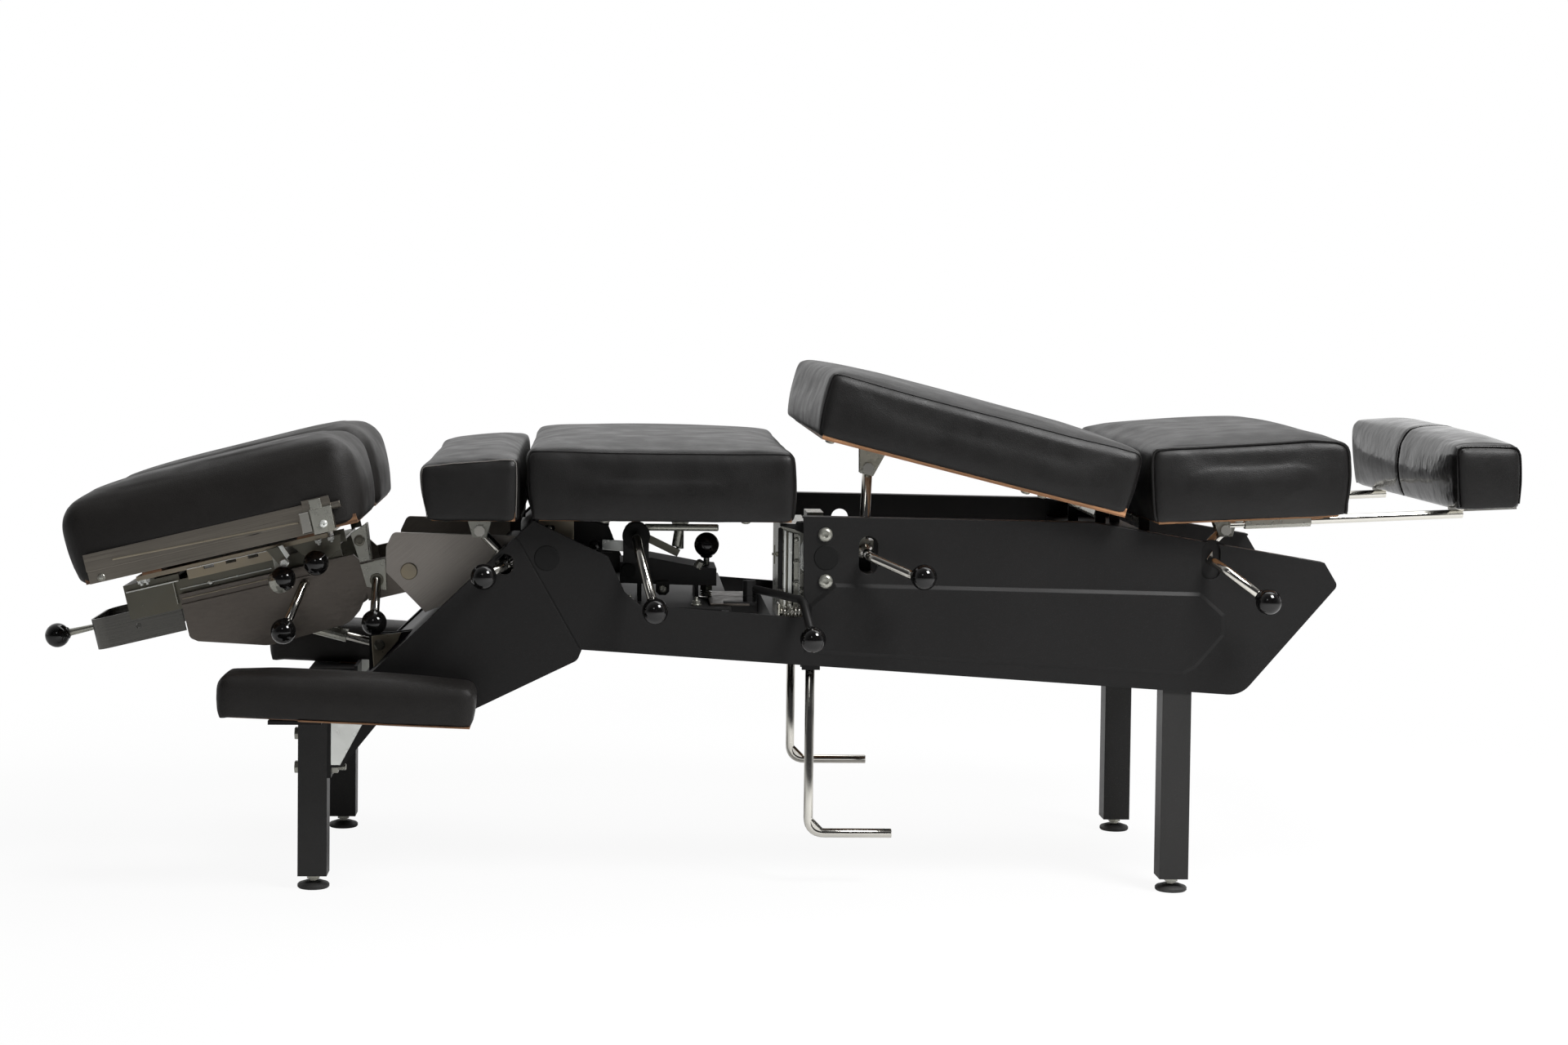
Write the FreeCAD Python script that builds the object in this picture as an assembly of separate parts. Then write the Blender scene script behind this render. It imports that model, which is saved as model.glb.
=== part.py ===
import FreeCAD, Part
import math
import os

from FreeCAD import Vector

# Chiropractic table: a sheet-steel frame on four legs, with a tilting head section on two
# face cushions, a chest cushion, a drop cushion, a raised lumbar cushion, a leg cushion and a
# telescoping foot cushion. Millimetres. X runs along the table with the head end at -X, -Y is
# the near side with the levers, and the floor is at Z zero.

# Fits and general stock sizes
running_fit = 0.06
body_gap = 0.4
seat_gap = 0.3
board_seat_gap = 0.9
hex_sides = 6
steep_share = 0.1
overrun = 2.0
sheet = 3.0
plate = 5.0
knob_radius = 16.0
knob_sides = 10
knob_ring_shares = ((-0.94, 0.34), (-0.66, 0.75), (-0.24, 0.97), (0.24, 0.97), (0.66, 0.75), (0.94, 0.34))
rod_sides = 8
cap_sides = 16
bore_sides = 12
lever_rod_radius = 5.5
lever_bend = 13.0
prop_rod_radius = 6.5
board_thickness = 12.0
board_lip = 5.0
cover_edge = 7.0
cushion_corner = 22.0
cushion_crown = 5.0
cushion_draw = 6.0
cushion_end_shares = ((0.0, 0.50), (0.60, 0.0))
corner_limit_share = 0.28

# Frame panels: two folded sheets with a slanted front edge and a U cut-out in the top edge
frame_half = 226.0
panel_start = -541.0
panel_length = 1296.0
panel_head_length = 589.0
panel_end = panel_start + panel_length
panel_base = 236.0
panel_height = 260.0
flange_width = 22.0
panel_corner = 35.0
tip_corner = 8.0
notch_corner = 5.0
nose_corner = 12.0
crease_depth = 0.8
crease_width = 2.4
crease_shares = ((0.3565, 0.923), (0.5059, 0.331))
emboss_depth = 3.0
emboss_bevel = 5.0
panel_nose_shares = (
    (0.000, 0.100), (0.000, 0.000), (0.2596, 0.000), (0.5008, 0.2654), (0.5102, 0.3192),
)
panel_tail_shares = (
    (0.8213, 0.1066), (1.000, 0.669), (0.9743, 0.785), (0.5417, 0.981), (0.000, 1.000),
)
panel_notch_shares = (
    (1.0034, 0.4885), (0.6368, 0.548), (0.6044, 0.6135), (0.5670, 0.790), (0.4007, 0.9692),
)
emboss_outline_shares = (
    (0.0046, 0.310), (0.0110, 0.554), (0.0596, 0.665), (0.7424, 0.631), (0.7892, 0.519),
    (0.7892, 0.412), (0.7370, 0.246), (0.7127, 0.2115),
)

# Holes, plugs and screws in the panels
plug_radius = 15.0
plug_lip = 1.5
plug_spots = ((-287.0, 439.0), (79.0, 442.5))
screw_spots = ((77.0, 472.5), (78.0, 411.0))
screw_head_radius = 9.5
screw_head_height = 5.0
lever_slot_half = 12.5
chest_slot_half = 1.0

# Legs and levelling feet
leg_size = 38.1
leg_wall = 2.5
front_leg_x = -591.0
rear_leg_inset = 210.0
rear_leg_x = panel_end - rear_leg_inset
leg_bottom = 18.0
front_leg_top = 230.0
rear_leg_top = 420.0
foot_radius = 21.0
foot_neck_radius = 12.0
foot_height = 9.0
foot_stem_radius = 6.0
foot_plug = 10.0
leg_plate_base = 148.0
leg_plate_top = 243.0
leg_plate_width = 70.0
gusset_reach = 67.0
gusset_toe = 14.0
gusset_drop = 80.0
leg_bolt_heights = (159.5, 204.0)
bolt_head_radius = 9.0
bolt_head_height = 6.0
bolt_tail = 10.0

# Cross members between the panels
beam_wall = 3.0
thoracic_beam_x = (-290.0, -240.0)
thoracic_beam_z = (425.0, 450.0)
drop_beam_x = (-200.0, -45.0)
drop_beam_z = (345.0, 375.0)
pelvic_beam_x = (14.0, 110.0)
pelvic_beam_z = (318.0, 352.0)
hinge_beam_insets = (315.0, 219.0)
hinge_beam_x = (panel_end - hinge_beam_insets[0], panel_end - hinge_beam_insets[1])
hinge_beam_z = (436.0, 464.0)
tail_beam_insets = (165.0, 125.0)
tail_beam_x = (panel_end - tail_beam_insets[0], panel_end - tail_beam_insets[1])
tail_beam_z = (300.0, 335.0)

# Hinges: two ears and a pin on the frame, one wide knuckle on the moving part
knuckle_half = 105.0
ear_thickness = 5.0
ear_radius = 7.0
lug_radius = 7.5
hinge_pin_radius = 4.0
hinge_plate = 3.0
hinge_plate_length = 46.0

# Armrests
armrest_start = -700.0
armrest_length = 325.0
armrest_width = 89.5
armrest_base = 240.0
armrest_rise = 55.0
armrest_fall = 8.0
armrest_tilt = 2.2
armrest_corner = 14.0
armrest_arm_start = -640.0
armrest_arm_outer = 300.0

# Chest cushion
chest_pivot_x = -332.0
chest_pivot_z = 481.0
chest_left = -104.0
chest_right = 4.0
chest_height_left = 66.0
chest_height_right = 90.0
chest_half_width = 258.0
chest_bulge = 6.0

# Drop cushion over the cut-out
thoracic_pivot_x = -266.0
thoracic_pivot_z = 470.0
thoracic_left = -31.0
thoracic_right = 297.0
thoracic_rise = 20.0
thoracic_height = 95.0
thoracic_half_width = 258.0
thoracic_bulge = 7.0

# Lumbar cushion, raised at its head end
lumbar_pivot_inset = 295.0
lumbar_pivot_x = panel_end - lumbar_pivot_inset
lumbar_pivot_z = 493.5
lumbar_tilt = 14.0
lumbar_front_x = 55.0
lumbar_left = lumbar_front_x - lumbar_pivot_x
lumbar_right = 4.0
lumbar_height = 88.0
lumbar_half_width = 260.0
lumbar_bulge = 8.0

# Leg cushion
leg_pivot_inset = 235.0
leg_pivot_x = panel_end - leg_pivot_inset
leg_pivot_z = 484.0
leg_tilt = -2.8
leg_left = -8.0
leg_right = 228.0
leg_height = 99.0
leg_half_width = 258.0
leg_bulge = 9.0

# Foot cushion and its telescoping tubes, in the leg cushion's frame
foot_left = 396.0
foot_right = 466.0
foot_height_above = 90.0
foot_half_width = 250.0
foot_bulge = 8.0
slide_y = 180.0
sleeve_radius = 9.0
slide_rod_radius = 6.0
sleeve_start = 120.0
sleeve_end = 208.0
slide_rod_start = 100.0
slide_rod_end = 413.0

# Prop rods and their clamps: pin under the cushion, clamp shaft in the panel, rod beside it
prop_y = -150.0
clamp_wall = 1.0
clamp_grip = 14.0
clamp_half_height = 15.0
prop_eye_radius = 9.0
prop_pin_radius = 4.0
prop_pin_head = 7.5
prop_pin_head_height = 3.0
prop_cheek = 3.0
prop_slot_gap = 1.6
prop_cheek_gap = 0.5
clamp_ear = 4.0
clamp_ear_radius = 8.0

chest_prop_pin = (-378.0, 468.0)
chest_clamp = (-342.5, 430.5)
chest_rod_tail = 30.0
chest_window_x = (-384.0, -326.0)
chest_window_margin = 3.0
chest_lever_path = ((0.0, -250.0, 0.0), (-24.0, -290.0, -10.0))
lumbar_prop_pin = (138.5, 556.0)
lumbar_clamp = (134.0, 446.0)
lumbar_rod_tail = 40.0
lumbar_lever_path = ((0.0, -247.0, 0.0), (50.0, -276.0, -20.0), (66.0, -290.0, -22.0))
leg_prop_inset = 135.0
leg_clamp_inset = 169.0
leg_prop_pin = (panel_end - leg_prop_inset, 477.0)
leg_clamp = (panel_end - leg_clamp_inset, 442.0)
leg_rod_tail = 30.0
leg_lever_path = ((0.0, -244.0, 0.0), (12.0, -264.0, -9.0), (62.0, -290.0, -47.0))

# Head section, drawn level about its pivot and tilted as a whole
head_pivot_x = -473.0
head_pivot_z = 411.0
head_tilt = -13.5
tilt_pin_radius = 9.5
tilt_pin_head_radius = 11.0
tilt_pin_head = 3.0
yoke_outer = 134.0
yoke_thickness = 6.0
yoke_outline_shares = (
    (0.000, 0.24), (0.000, 0.72), (0.060, 1.000), (0.750, 0.950),
)
yoke_reach = 31.0
yoke_length = 150.0
yoke_low = -18.0
yoke_rise = 52.0
yoke_chin_x = 22.0
yoke_chin_z = -55.0
barrel_radius = 17.0
cheek_thickness = 6.0
cheek_length = 62.0
cheek_low = -27.0
cheek_high = 25.0
side_plate_outer = 121.0
side_plate_start = -307.0
side_plate_length = 248.0
side_plate_low = -56.0
side_plate_high = 38.0
side_plate_outline_shares = (
    (0.000, 0.360), (0.040, 0.285), (0.404, 0.000), (0.855, 0.050), (0.924, 0.190),
    (1.000, 0.460), (1.000, 0.850), (0.960, 1.000), (0.000, 1.000),
)
rail_lip = 3.0
rail_lip_height = 3.0
rail_lip_drop = 14.0
spacer_radius = 8.0
spacer_spots = ((-250.0, -8.0), (-95.0, -25.0))

# Sliding carriage of the head section
carriage_outer = 114.0
carriage_wall = 3.0
carriage_start = -304.0
carriage_end = -84.0
carriage_low = 0.3
carriage_high = 57.0
end_block_start = -380.0
end_block_low = 18.0
end_block_high = 65.0
end_block_half = 110.0
latch_x = -74.0
latch_length = 15.0
latch_high = 74.0
strap_start = -443.0
strap_end = -317.0
strap_low = -15.0
strap_high = 27.0
strap_half = 75.0
strap_bend = 22.0
strap_hole_radius = 3.5
strap_hole_x = -378.0
pull_knob_x = -505.0
pull_knob_z = 12.0
pull_rod_radius = 5.0
pull_nut_radius = 8.0
pull_nut_height = 6.0

# Head drop plate and face cushions
drop_plate_start = -352.0
drop_plate_end = -92.0
drop_plate_z = 70.0
drop_plate_thickness = 6.0
drop_plate_half = 152.0
drop_pivot_x = -342.0
rack_start = -285.0
rack_end = -165.0
rack_low = 57.0
rack_notch = 14.0
rack_notch_depth = 4.0
rack_notches = 3
runner_height = 10.0
runner_width = 26.0
runner_spots = (-330.0, -120.0)
face_board_bottom = 86.0
face_left = -399.0
face_right = -40.0
face_inner = 24.0
face_outer = 250.0
face_height = 112.0
face_bulge = 9.0
face_corner = 24.0
paper_rail_start = -392.0
paper_rail_end = -67.0
paper_rail_step = 5.0
paper_rail_sheet = 2.5
paper_rail_low = 19.0
paper_rail_height = 39.0
paper_screw_radius = 4.5
paper_screw_height = 2.5
paper_screw_spots = (-376.0, -81.0)
paper_block_length = 36.0
paper_block_low = 15.0
paper_block_high = 44.0
paper_block_depth = 9.0
paper_rod_radius = 5.0
paper_rod_reach = 12.0

# Head levers, in the head section's frame
spread_pivot = (-163.0, 66.0)
spread_arm_half = 7.0
spread_arm_length = 36.0
spread_knob_y = -190.0
cock_shaft = (-118.0, 48.0)
cock_knob = (-111.0, -190.0, 43.0)
extend_shaft = (-141.0, 14.0)
extend_knob = (-175.0, -180.0, -36.0)
tilt_shaft = (-45.0, -2.0)
tilt_knob = (-56.0, -180.0, -52.0)
head_lever_out = 12.0

# Head strut from a bracket on the slanted channel to a pin between the side plates
strut_y = -60.0
strut_foot = (-517.0, 303.0)
strut_head = (-189.0, -31.0)
strut_tube_radius = 9.0
strut_rod_radius = 5.5
strut_eye_radius = 10.0
strut_eye_half = 7.0
strut_pin_radius = 4.0
strut_slot_gap = 3.4
strut_tube_start_share = 0.34
strut_rod_end_share = 0.76
strut_bore_share = 0.14
strut_cheek = 4.0
strut_bracket_half = 14.0
strut_bracket_high = 16.0
strut_bracket_reach = 44.0

# Drop mechanism under the cut-out
drop_box_outline_shares = (
    (0.000, 0.08), (0.000, 0.83), (0.32, 1.000), (0.82, 0.680), (1.000, 0.620), (1.000, 0.000),
)
drop_box_x = (-191.0, -62.0)
drop_box_z = (396.0, 433.0)
drop_box_y = (-150.0, -60.0)
drop_box_foot = 24.0
hub_x = -170.0
hub_z = 464.0
hub_radius = 17.0
hub_half = 20.0
hub_y = -150.0
cross_rod_radius = 4.0
cross_rod_end = -60.0
cross_rod_z = 474.0
cam_arm_half = 5.0
cam_arm_thickness = 5.0
cam_arm_y = -118.0
cam_arm_tip = (-112.0, 436.0)
drop_lever_path = ((3.0, -238.0, -14.0), (24.0, -290.0, -86.0))
drop_lever_shaft_out = -216.0
post_x = -110.0
post_y = -100.0
post_radius = 5.5
post_boss_radius = 12.0
post_boss_half = 7.0
post_boss_drop = 10.0
post_foot_z = 441.0
tension_x = -74.0
tension_y = -105.0
tension_radius = 4.0
tension_knob_z = 447.0
tension_tail_z = 378.0
tension_nut_radius = 9.0
tension_nut_height = 10.0

# Pelvic drop unit
drop_channel_x = (20.0, 58.0)
drop_channel_z = (352.0, 483.0)
drop_channel_y = (-200.0, -40.0)
drop_channel_wall = 3.0
drop_post_depth = 22.0
drop_post_y = (-150.0, -90.0)
drop_post_top = 495.5
drop_post_low = 366.0
release_pivot = (-20.0, -190.0)
release_rod_radius = 5.0
release_path = ((-20.0, -190.0, 398.0), (48.0, -234.0, 387.0), (58.0, -286.0, 342.0))
release_hub_radius = 9.0
release_hub_height = 20.0
release_post_radius = 5.0
pedal_shaft_x = 62.0
pedal_shaft_z = 303.0
pedal_shaft_radius = 6.0
pedal_rod_radius = 6.0
pedal_hub_radius = 10.0
pedal_hub_width = 22.0
pedal_y = 186.0
pedal_reach = 111.0
near_pedal_z = 71.0
far_pedal_z = 106.0
pedal_bend = 18.0
pedal_hanger = 5.0
pedal_hanger_half = 12.0


# Geometry helpers
def box(x0, x1, y0, y1, z0, z1):
    return Part.makeBox(x1 - x0, y1 - y0, z1 - z0, Vector(x0, y0, z0))


def cylinder(start, end, radius):
    axis = end.sub(start)
    return Part.makeCylinder(radius, axis.Length, start, axis)


def pin_y(x, z, y0, y1, radius):
    return Part.makeCylinder(radius, y1 - y0, Vector(x, y0, z), Vector(0, 1, 0))


def bore_y(x, z, y0, y1, radius):
    """Hole along Y whose flats lie one running fit off a shaft of this radius."""
    reach = (radius + running_fit) / math.cos(math.pi / bore_sides)
    return bar_y(x, z, y0, y1, reach, bore_sides)


def rounded_wire(points, radii):
    """Closed wire in the XZ plane, with each corner rounded by its radius, or sharp at zero."""
    edges = []
    ends = []
    count = len(points)
    for i in range(count):
        here = Vector(points[i][0], 0, points[i][1])
        before = Vector(points[i - 1][0], 0, points[i - 1][1]).sub(here).normalize()
        after = Vector(points[(i + 1) % count][0], 0, points[(i + 1) % count][1]).sub(here)
        after = after.normalize()
        if radii[i] <= 0:
            ends.append((here, here))
            continue
        half = before.getAngle(after) / 2
        reach = radii[i] / math.tan(half)
        first = here.add(before.multiply(reach))
        last = here.add(after.multiply(reach))
        chord = first.add(last).multiply(0.5).sub(here)
        to_centre = radii[i] / math.sin(half)
        middle = here.add(chord.normalize().multiply(to_centre - radii[i]))
        ends.append((first, last))
        edges.append(Part.Arc(first, middle, last).toShape())
    for i in range(count):
        start = ends[i][1]
        stop = ends[(i + 1) % count][0]
        edges.append(Part.LineSegment(start, stop).toShape())
    return Part.Wire(Part.__sortEdges__(edges))


def profile(points, y0, y1, radii=None):
    """Plate cut to an outline in the XZ plane, from y0 to y1."""
    radii = radii or [0] * len(points)
    face = Part.Face(rounded_wire(points, radii))
    face.translate(Vector(0, y0, 0))
    return face.extrude(Vector(0, y1 - y0, 0))


def strip(start, end, thickness, y0, y1):
    """Flat bar lying along start to end, its thickness to the right of that direction."""
    run_x = end[0] - start[0]
    run_z = end[1] - start[1]
    length = math.hypot(run_x, run_z)
    nx = run_z / length * thickness
    nz = -run_x / length * thickness
    corners = (start, end, (end[0] + nx, end[1] + nz), (start[0] + nx, start[1] + nz))
    return profile(corners, y0, y1)


def spread(shares, x0, length, z0, height):
    return [(x0 + sx * length, z0 + sz * height) for sx, sz in shares]


def bend_route(points, bend):
    """The points with each inner corner taken in two steps."""
    route = [points[0]]
    for i in range(1, len(points) - 1):
        here = points[i]
        back = points[i - 1].sub(here)
        onward = points[i + 1].sub(here)
        half = back.getAngle(onward) / 2
        reach = min(bend / math.tan(half), back.Length / 3, onward.Length / 3)
        route.append(here.add(back.normalize().multiply(reach)))
        route.append(here.add(onward.normalize().multiply(reach)))
    route.append(points[-1])
    return route


def mitred(route, start, radius):
    """Bar of flats along the route, mitred at each turn and cut square to start at its start."""
    start = Vector(start).normalize()
    side = start.cross(Vector(0, 0, 1))
    if side.Length < steep_share:
        side = Vector(1, 0, 0)
    side = side.normalize()
    up = start.cross(side)
    ring = []
    for i in range(rod_sides):
        angle = 2 * math.pi * (i + 0.5) / rod_sides
        across = Vector(side).multiply(radius * math.cos(angle))
        ring.append(route[0].add(across).add(Vector(up).multiply(radius * math.sin(angle))))
    rings = [ring]
    for i in range(1, len(route)):
        along = route[i].sub(route[i - 1]).normalize()
        normal = Vector(along)
        if i < len(route) - 1:
            normal = along.add(route[i + 1].sub(route[i]).normalize()).normalize()
        moved = []
        for corner in rings[-1]:
            run = route[i].sub(corner).dot(normal) / along.dot(normal)
            moved.append(corner.add(Vector(along).multiply(run)))
        rings.append(moved)
    return solid_through(rings)


def bar(start, end, radius, sides):
    """Bar with flats between two points on its axis, such as a nut, a cap or a small pin."""
    axis = end.sub(start)
    corners = []
    for i in range(sides):
        angle = 2 * math.pi * (i + 0.5) / sides
        corners.append(Vector(radius * math.cos(angle), radius * math.sin(angle), 0))
    face = Part.Face(Part.makePolygon(corners + corners[:1]))
    solid = face.extrude(Vector(0, 0, axis.Length))
    solid.Placement = FreeCAD.Placement(start, FreeCAD.Rotation(Vector(0, 0, 1), axis))
    return solid


def bar_y(x, z, y0, y1, radius, sides):
    return bar(Vector(x, y0, z), Vector(x, y1, z), radius, sides)


def solid_through(rings):
    """Closed solid of flat faces through rings of corners, with a flat at each end."""
    faces = [Part.Face(Part.makePolygon(ring + ring[:1])) for ring in (rings[0], rings[-1])]
    for low, high in zip(rings, rings[1:]):
        for i in range(len(low)):
            j = (i + 1) % len(low)
            faces.append(Part.Face(Part.makePolygon([low[i], low[j], high[j], high[i], low[i]])))
    return Part.makeSolid(Part.makeShell(faces))


def ball(centre):
    """Ball knob turned in a few flats."""
    rings = []
    for height_share, radius_share in knob_ring_shares:
        ring = []
        for i in range(knob_sides):
            angle = 2 * math.pi * i / knob_sides
            across = knob_radius * radius_share
            ring.append(
                centre.add(
                    Vector(
                        across * math.cos(angle), across * math.sin(angle),
                        knob_radius * height_share,
                    )
                )
            )
        rings.append(ring)
    return solid_through(rings)


def lever(points, radius, bend):
    """Round lever shaft, bent outside in flats, with a ball knob on its last point."""
    knob = ball(points[-1])
    route = bend_route(points, bend)
    shaft = bar(route[0], route[1], radius, cap_sides)
    rod = mitred(route[1:], route[1].sub(route[0]), radius)
    return [shaft.fuse(rod.cut(knob)), knob]


def mirrored(shape):
    return shape.mirror(Vector(0, 0, 0), Vector(0, 1, 0))


def both_sides(shapes):
    return shapes + [mirrored(shape) for shape in shapes]


def tilted(shapes, pivot_x, pivot_z, degrees):
    """Shapes drawn level about their pivot, turned about it and moved into place."""
    placed = []
    for shape in shapes:
        copy = shape.copy()
        copy.rotate(Vector(0, 0, 0), Vector(0, 1, 0), degrees)
        copy.translate(Vector(pivot_x, 0, pivot_z))
        placed.append(copy)
    return placed


def local_point(point, pivot_x, pivot_z, degrees):
    """A place on the table seen from a tilted section's own level frame."""
    angle = math.radians(degrees)
    dx = point[0] - pivot_x
    dz = point[1] - pivot_z
    return (dx * math.cos(angle) - dz * math.sin(angle), dx * math.sin(angle) + dz * math.cos(angle))


def world_point(point, pivot_x, pivot_z, degrees):
    angle = math.radians(degrees)
    x = point[0] * math.cos(angle) + point[1] * math.sin(angle)
    z = -point[0] * math.sin(angle) + point[1] * math.cos(angle)
    return (pivot_x + x, pivot_z + z)


def save(name, shapes):
    Part.makeCompound(shapes).exportStep("parts/" + name + ".step")


# Cushions
def cushion_ring(x, y0, y1, z0, z1, inset, round_):
    """One closed section across a cushion: flat base, drawn-in sides, round corners, crown."""
    low = z0
    high = z1 - inset
    left = y0 + inset
    right = y1 - inset
    mid = (left + right) / 2
    side_mid = (low + high - round_) / 2
    knee = round_ * (1 - math.sqrt(0.5))
    p = [
        Vector(x, left + cushion_draw, low), Vector(x, right - cushion_draw, low),
        Vector(x, right, high - round_), Vector(x, right - round_, high),
        Vector(x, left + round_, high), Vector(x, left, high - round_),
    ]
    edges = [
        Part.LineSegment(p[0], p[1]).toShape(),
        Part.Arc(p[1], Vector(x, right + cushion_draw / 4, side_mid), p[2]).toShape(),
        Part.Arc(p[2], Vector(x, right - knee, high - knee), p[3]).toShape(),
        Part.Arc(p[3], Vector(x, mid, high + cushion_crown), p[4]).toShape(),
        Part.Arc(p[4], Vector(x, left + knee, high - knee), p[5]).toShape(),
        Part.Arc(p[5], Vector(x, left - cushion_draw / 4, side_mid), p[0]).toShape(),
    ]
    return Part.Wire(edges)


def cushion(x0, x1, y0, y1, z0, top_left, top_right, corner):
    """Upholstered block lofted along X through its sections, its ends drawn in and rounded."""
    length = x1 - x0
    stations = [(x0 + share * corner, inset * corner) for share, inset in cushion_end_shares]
    stations += [(x1 - share * corner, inset * corner) for share, inset in reversed(cushion_end_shares)]
    round_ = min(corner, corner_limit_share * (min(top_left, top_right) - z0))
    depth = max(top_left, top_right) - z0
    rings = []
    for x, inset in stations:
        top = top_left + (top_right - top_left) * (x - x0) / length
        rings.append(cushion_ring(x, y0, y1, top - depth, top, inset, round_))
    block = Part.makeLoft(rings, True, True)
    if top_left == top_right:
        return block
    below = box(x0 - overrun, x1 + overrun, y0 - overrun, y1 + overrun, z0 - depth - overrun, z0)
    return block.cut(below)


def pad(x0, x1, half_width, z0, rise_left, rise_right, bulge):
    """A board and the cushion wrapped over it, level, with the board's lower edge showing."""
    base = z0 + board_lip
    board_half = half_width - cover_edge
    board = box(x0, x1, -board_half, board_half, z0, z0 + board_thickness)
    cover = cushion(
        x0 - bulge, x1 + bulge, -half_width, half_width, base, z0 + rise_left, z0 + rise_right,
        cushion_corner,
    )
    return board, cover.cut(board)


# Frame
def tail_start():
    return panel_start + panel_head_length


def panel_points():
    """Outline of a side panel: nose and cut-out keep their place when the tail grows."""
    tail = panel_end - tail_start()
    return (
        spread(panel_nose_shares, panel_start, panel_head_length, panel_base, panel_height)
        + spread(panel_tail_shares, tail_start(), tail, panel_base, panel_height)
        + spread(panel_notch_shares, panel_start, panel_head_length, panel_base, panel_height)
    )


def slant_ends():
    points = panel_points()
    return points[0], points[-1]


def slot_hole(x, z, half_height):
    """Upright round-ended opening through a panel."""
    y0 = -frame_half - overrun - emboss_depth
    y1 = -frame_half + sheet + overrun
    hole = box(x - lever_slot_half, x + lever_slot_half, y0, y1, z - half_height, z + half_height)
    for end in (z - half_height, z + half_height):
        hole = hole.fuse(pin_y(x, end, y0, y1, lever_slot_half))
    return hole


def panel_blank():
    """Near panel without its holes: web, top and front flanges and the embossed field."""
    points = panel_points()
    radii = [
        0, 0, 0, nose_corner, 0, panel_corner, tip_corner, 0, 0, 0, notch_corner, 0, 0, 0, 0,
    ]
    inner = -frame_half + sheet
    web = profile(points, -frame_half, inner, radii)
    lip = -frame_half + flange_width
    blank = web.fuse(strip(points[0], points[-1], sheet, inner, lip))
    blank = blank.fuse(strip(points[9], points[8], sheet, inner, lip))
    blank = blank.fuse(strip(points[8], points[7], sheet, inner, lip))
    tail = panel_end - tail_start()
    field = spread(emboss_outline_shares, tail_start(), tail, panel_base, panel_height)
    outer = rounded_wire(field, [0] * len(field))
    raised = outer.makeOffset2D(-emboss_bevel)
    outer.translate(Vector(0, -frame_half, 0))
    raised.translate(Vector(0, -frame_half - emboss_depth, 0))
    return blank.fuse(Part.makeLoft([outer, raised], True, True))


def crease():
    """Shallow pressed line that parts a panel's nose from its beam."""
    high, low = spread(crease_shares, panel_start, panel_head_length, panel_base, panel_height)
    return strip(high, low, crease_width, -frame_half - overrun, -frame_half + crease_depth)


def side_panels():
    """Near panel with its three lever slots, and the far one with the middle slot alone."""
    blank = panel_blank().cut(crease())
    both = blank.cut(slot_hole(lumbar_clamp[0], lumbar_clamp[1], lever_slot_half))
    near = both.cut(slot_hole(chest_clamp[0], chest_clamp[1], chest_slot_half))
    near = near.cut(slot_hole(leg_clamp[0], leg_clamp[1], lever_slot_half))
    return near.removeSplitter(), mirrored(both.removeSplitter())


def head_channel():
    """Slanted cross channel under the panels' front flanges, its long edges folded back."""
    foot, top = slant_ends()
    half = frame_half - sheet
    run_x = top[0] - foot[0]
    run_z = top[1] - foot[1]
    length = math.hypot(run_x, run_z)
    ux = run_x / length
    uz = run_z / length
    start = (foot[0] + uz * sheet, foot[1] - ux * sheet)
    end = (top[0] + uz * sheet, top[1] - ux * sheet)
    web = strip(start, end, sheet, -half, half)
    low_end = (start[0] + uz * flange_width, start[1] - ux * flange_width)
    low = (start[0] + ux * sheet, start[1] + uz * sheet)
    low_tip = (low_end[0] + ux * sheet, low_end[1] + uz * sheet)
    fold = profile((start, low, low_tip, low_end), -half, half)
    near = clamp_near() - chest_window_margin
    far = prop_y + prop_rod_radius + plate + chest_window_margin
    window = box(chest_window_x[0], chest_window_x[1], near, far, foot[1], top[1])
    return web.cut(window).fuse(fold).removeSplitter()


def channel_top(x):
    """Height of the head channel's upper face at x."""
    foot, top = slant_ends()
    slope = (top[1] - foot[1]) / (top[0] - foot[0])
    return foot[1] + (x - foot[0]) * slope - sheet * math.hypot(1, slope)


def cross_channel(span_x, span_z):
    """Channel across the frame, open below."""
    half = frame_half - sheet
    outer = box(span_x[0], span_x[1], -half, half, span_z[0], span_z[1])
    inner = box(
        span_x[0] + beam_wall, span_x[1] - beam_wall, -half - overrun, half + overrun,
        span_z[0] - overrun, span_z[1] - beam_wall,
    )
    return outer.cut(inner)


def cross_members():
    spans = (
        (thoracic_beam_x, thoracic_beam_z), (drop_beam_x, drop_beam_z),
        (pelvic_beam_x, pelvic_beam_z), (hinge_beam_x, hinge_beam_z), (tail_beam_x, tail_beam_z),
    )
    return [cross_channel(span_x, span_z) for span_x, span_z in spans]


def square_leg(x, top):
    """Square tube with a plugged foot, its outer face against the panel."""
    half = leg_size / 2
    y = -frame_half + sheet + half
    tube = box(x - half, x + half, y - half, y + half, leg_bottom, top)
    bore_half = half - leg_wall
    bore = box(
        x - bore_half, x + bore_half, y - bore_half, y + bore_half, leg_bottom + foot_plug,
        top + overrun,
    )
    return tube.cut(bore)


def legs():
    return both_sides([square_leg(front_leg_x, front_leg_top), square_leg(rear_leg_x, rear_leg_top)])


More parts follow.
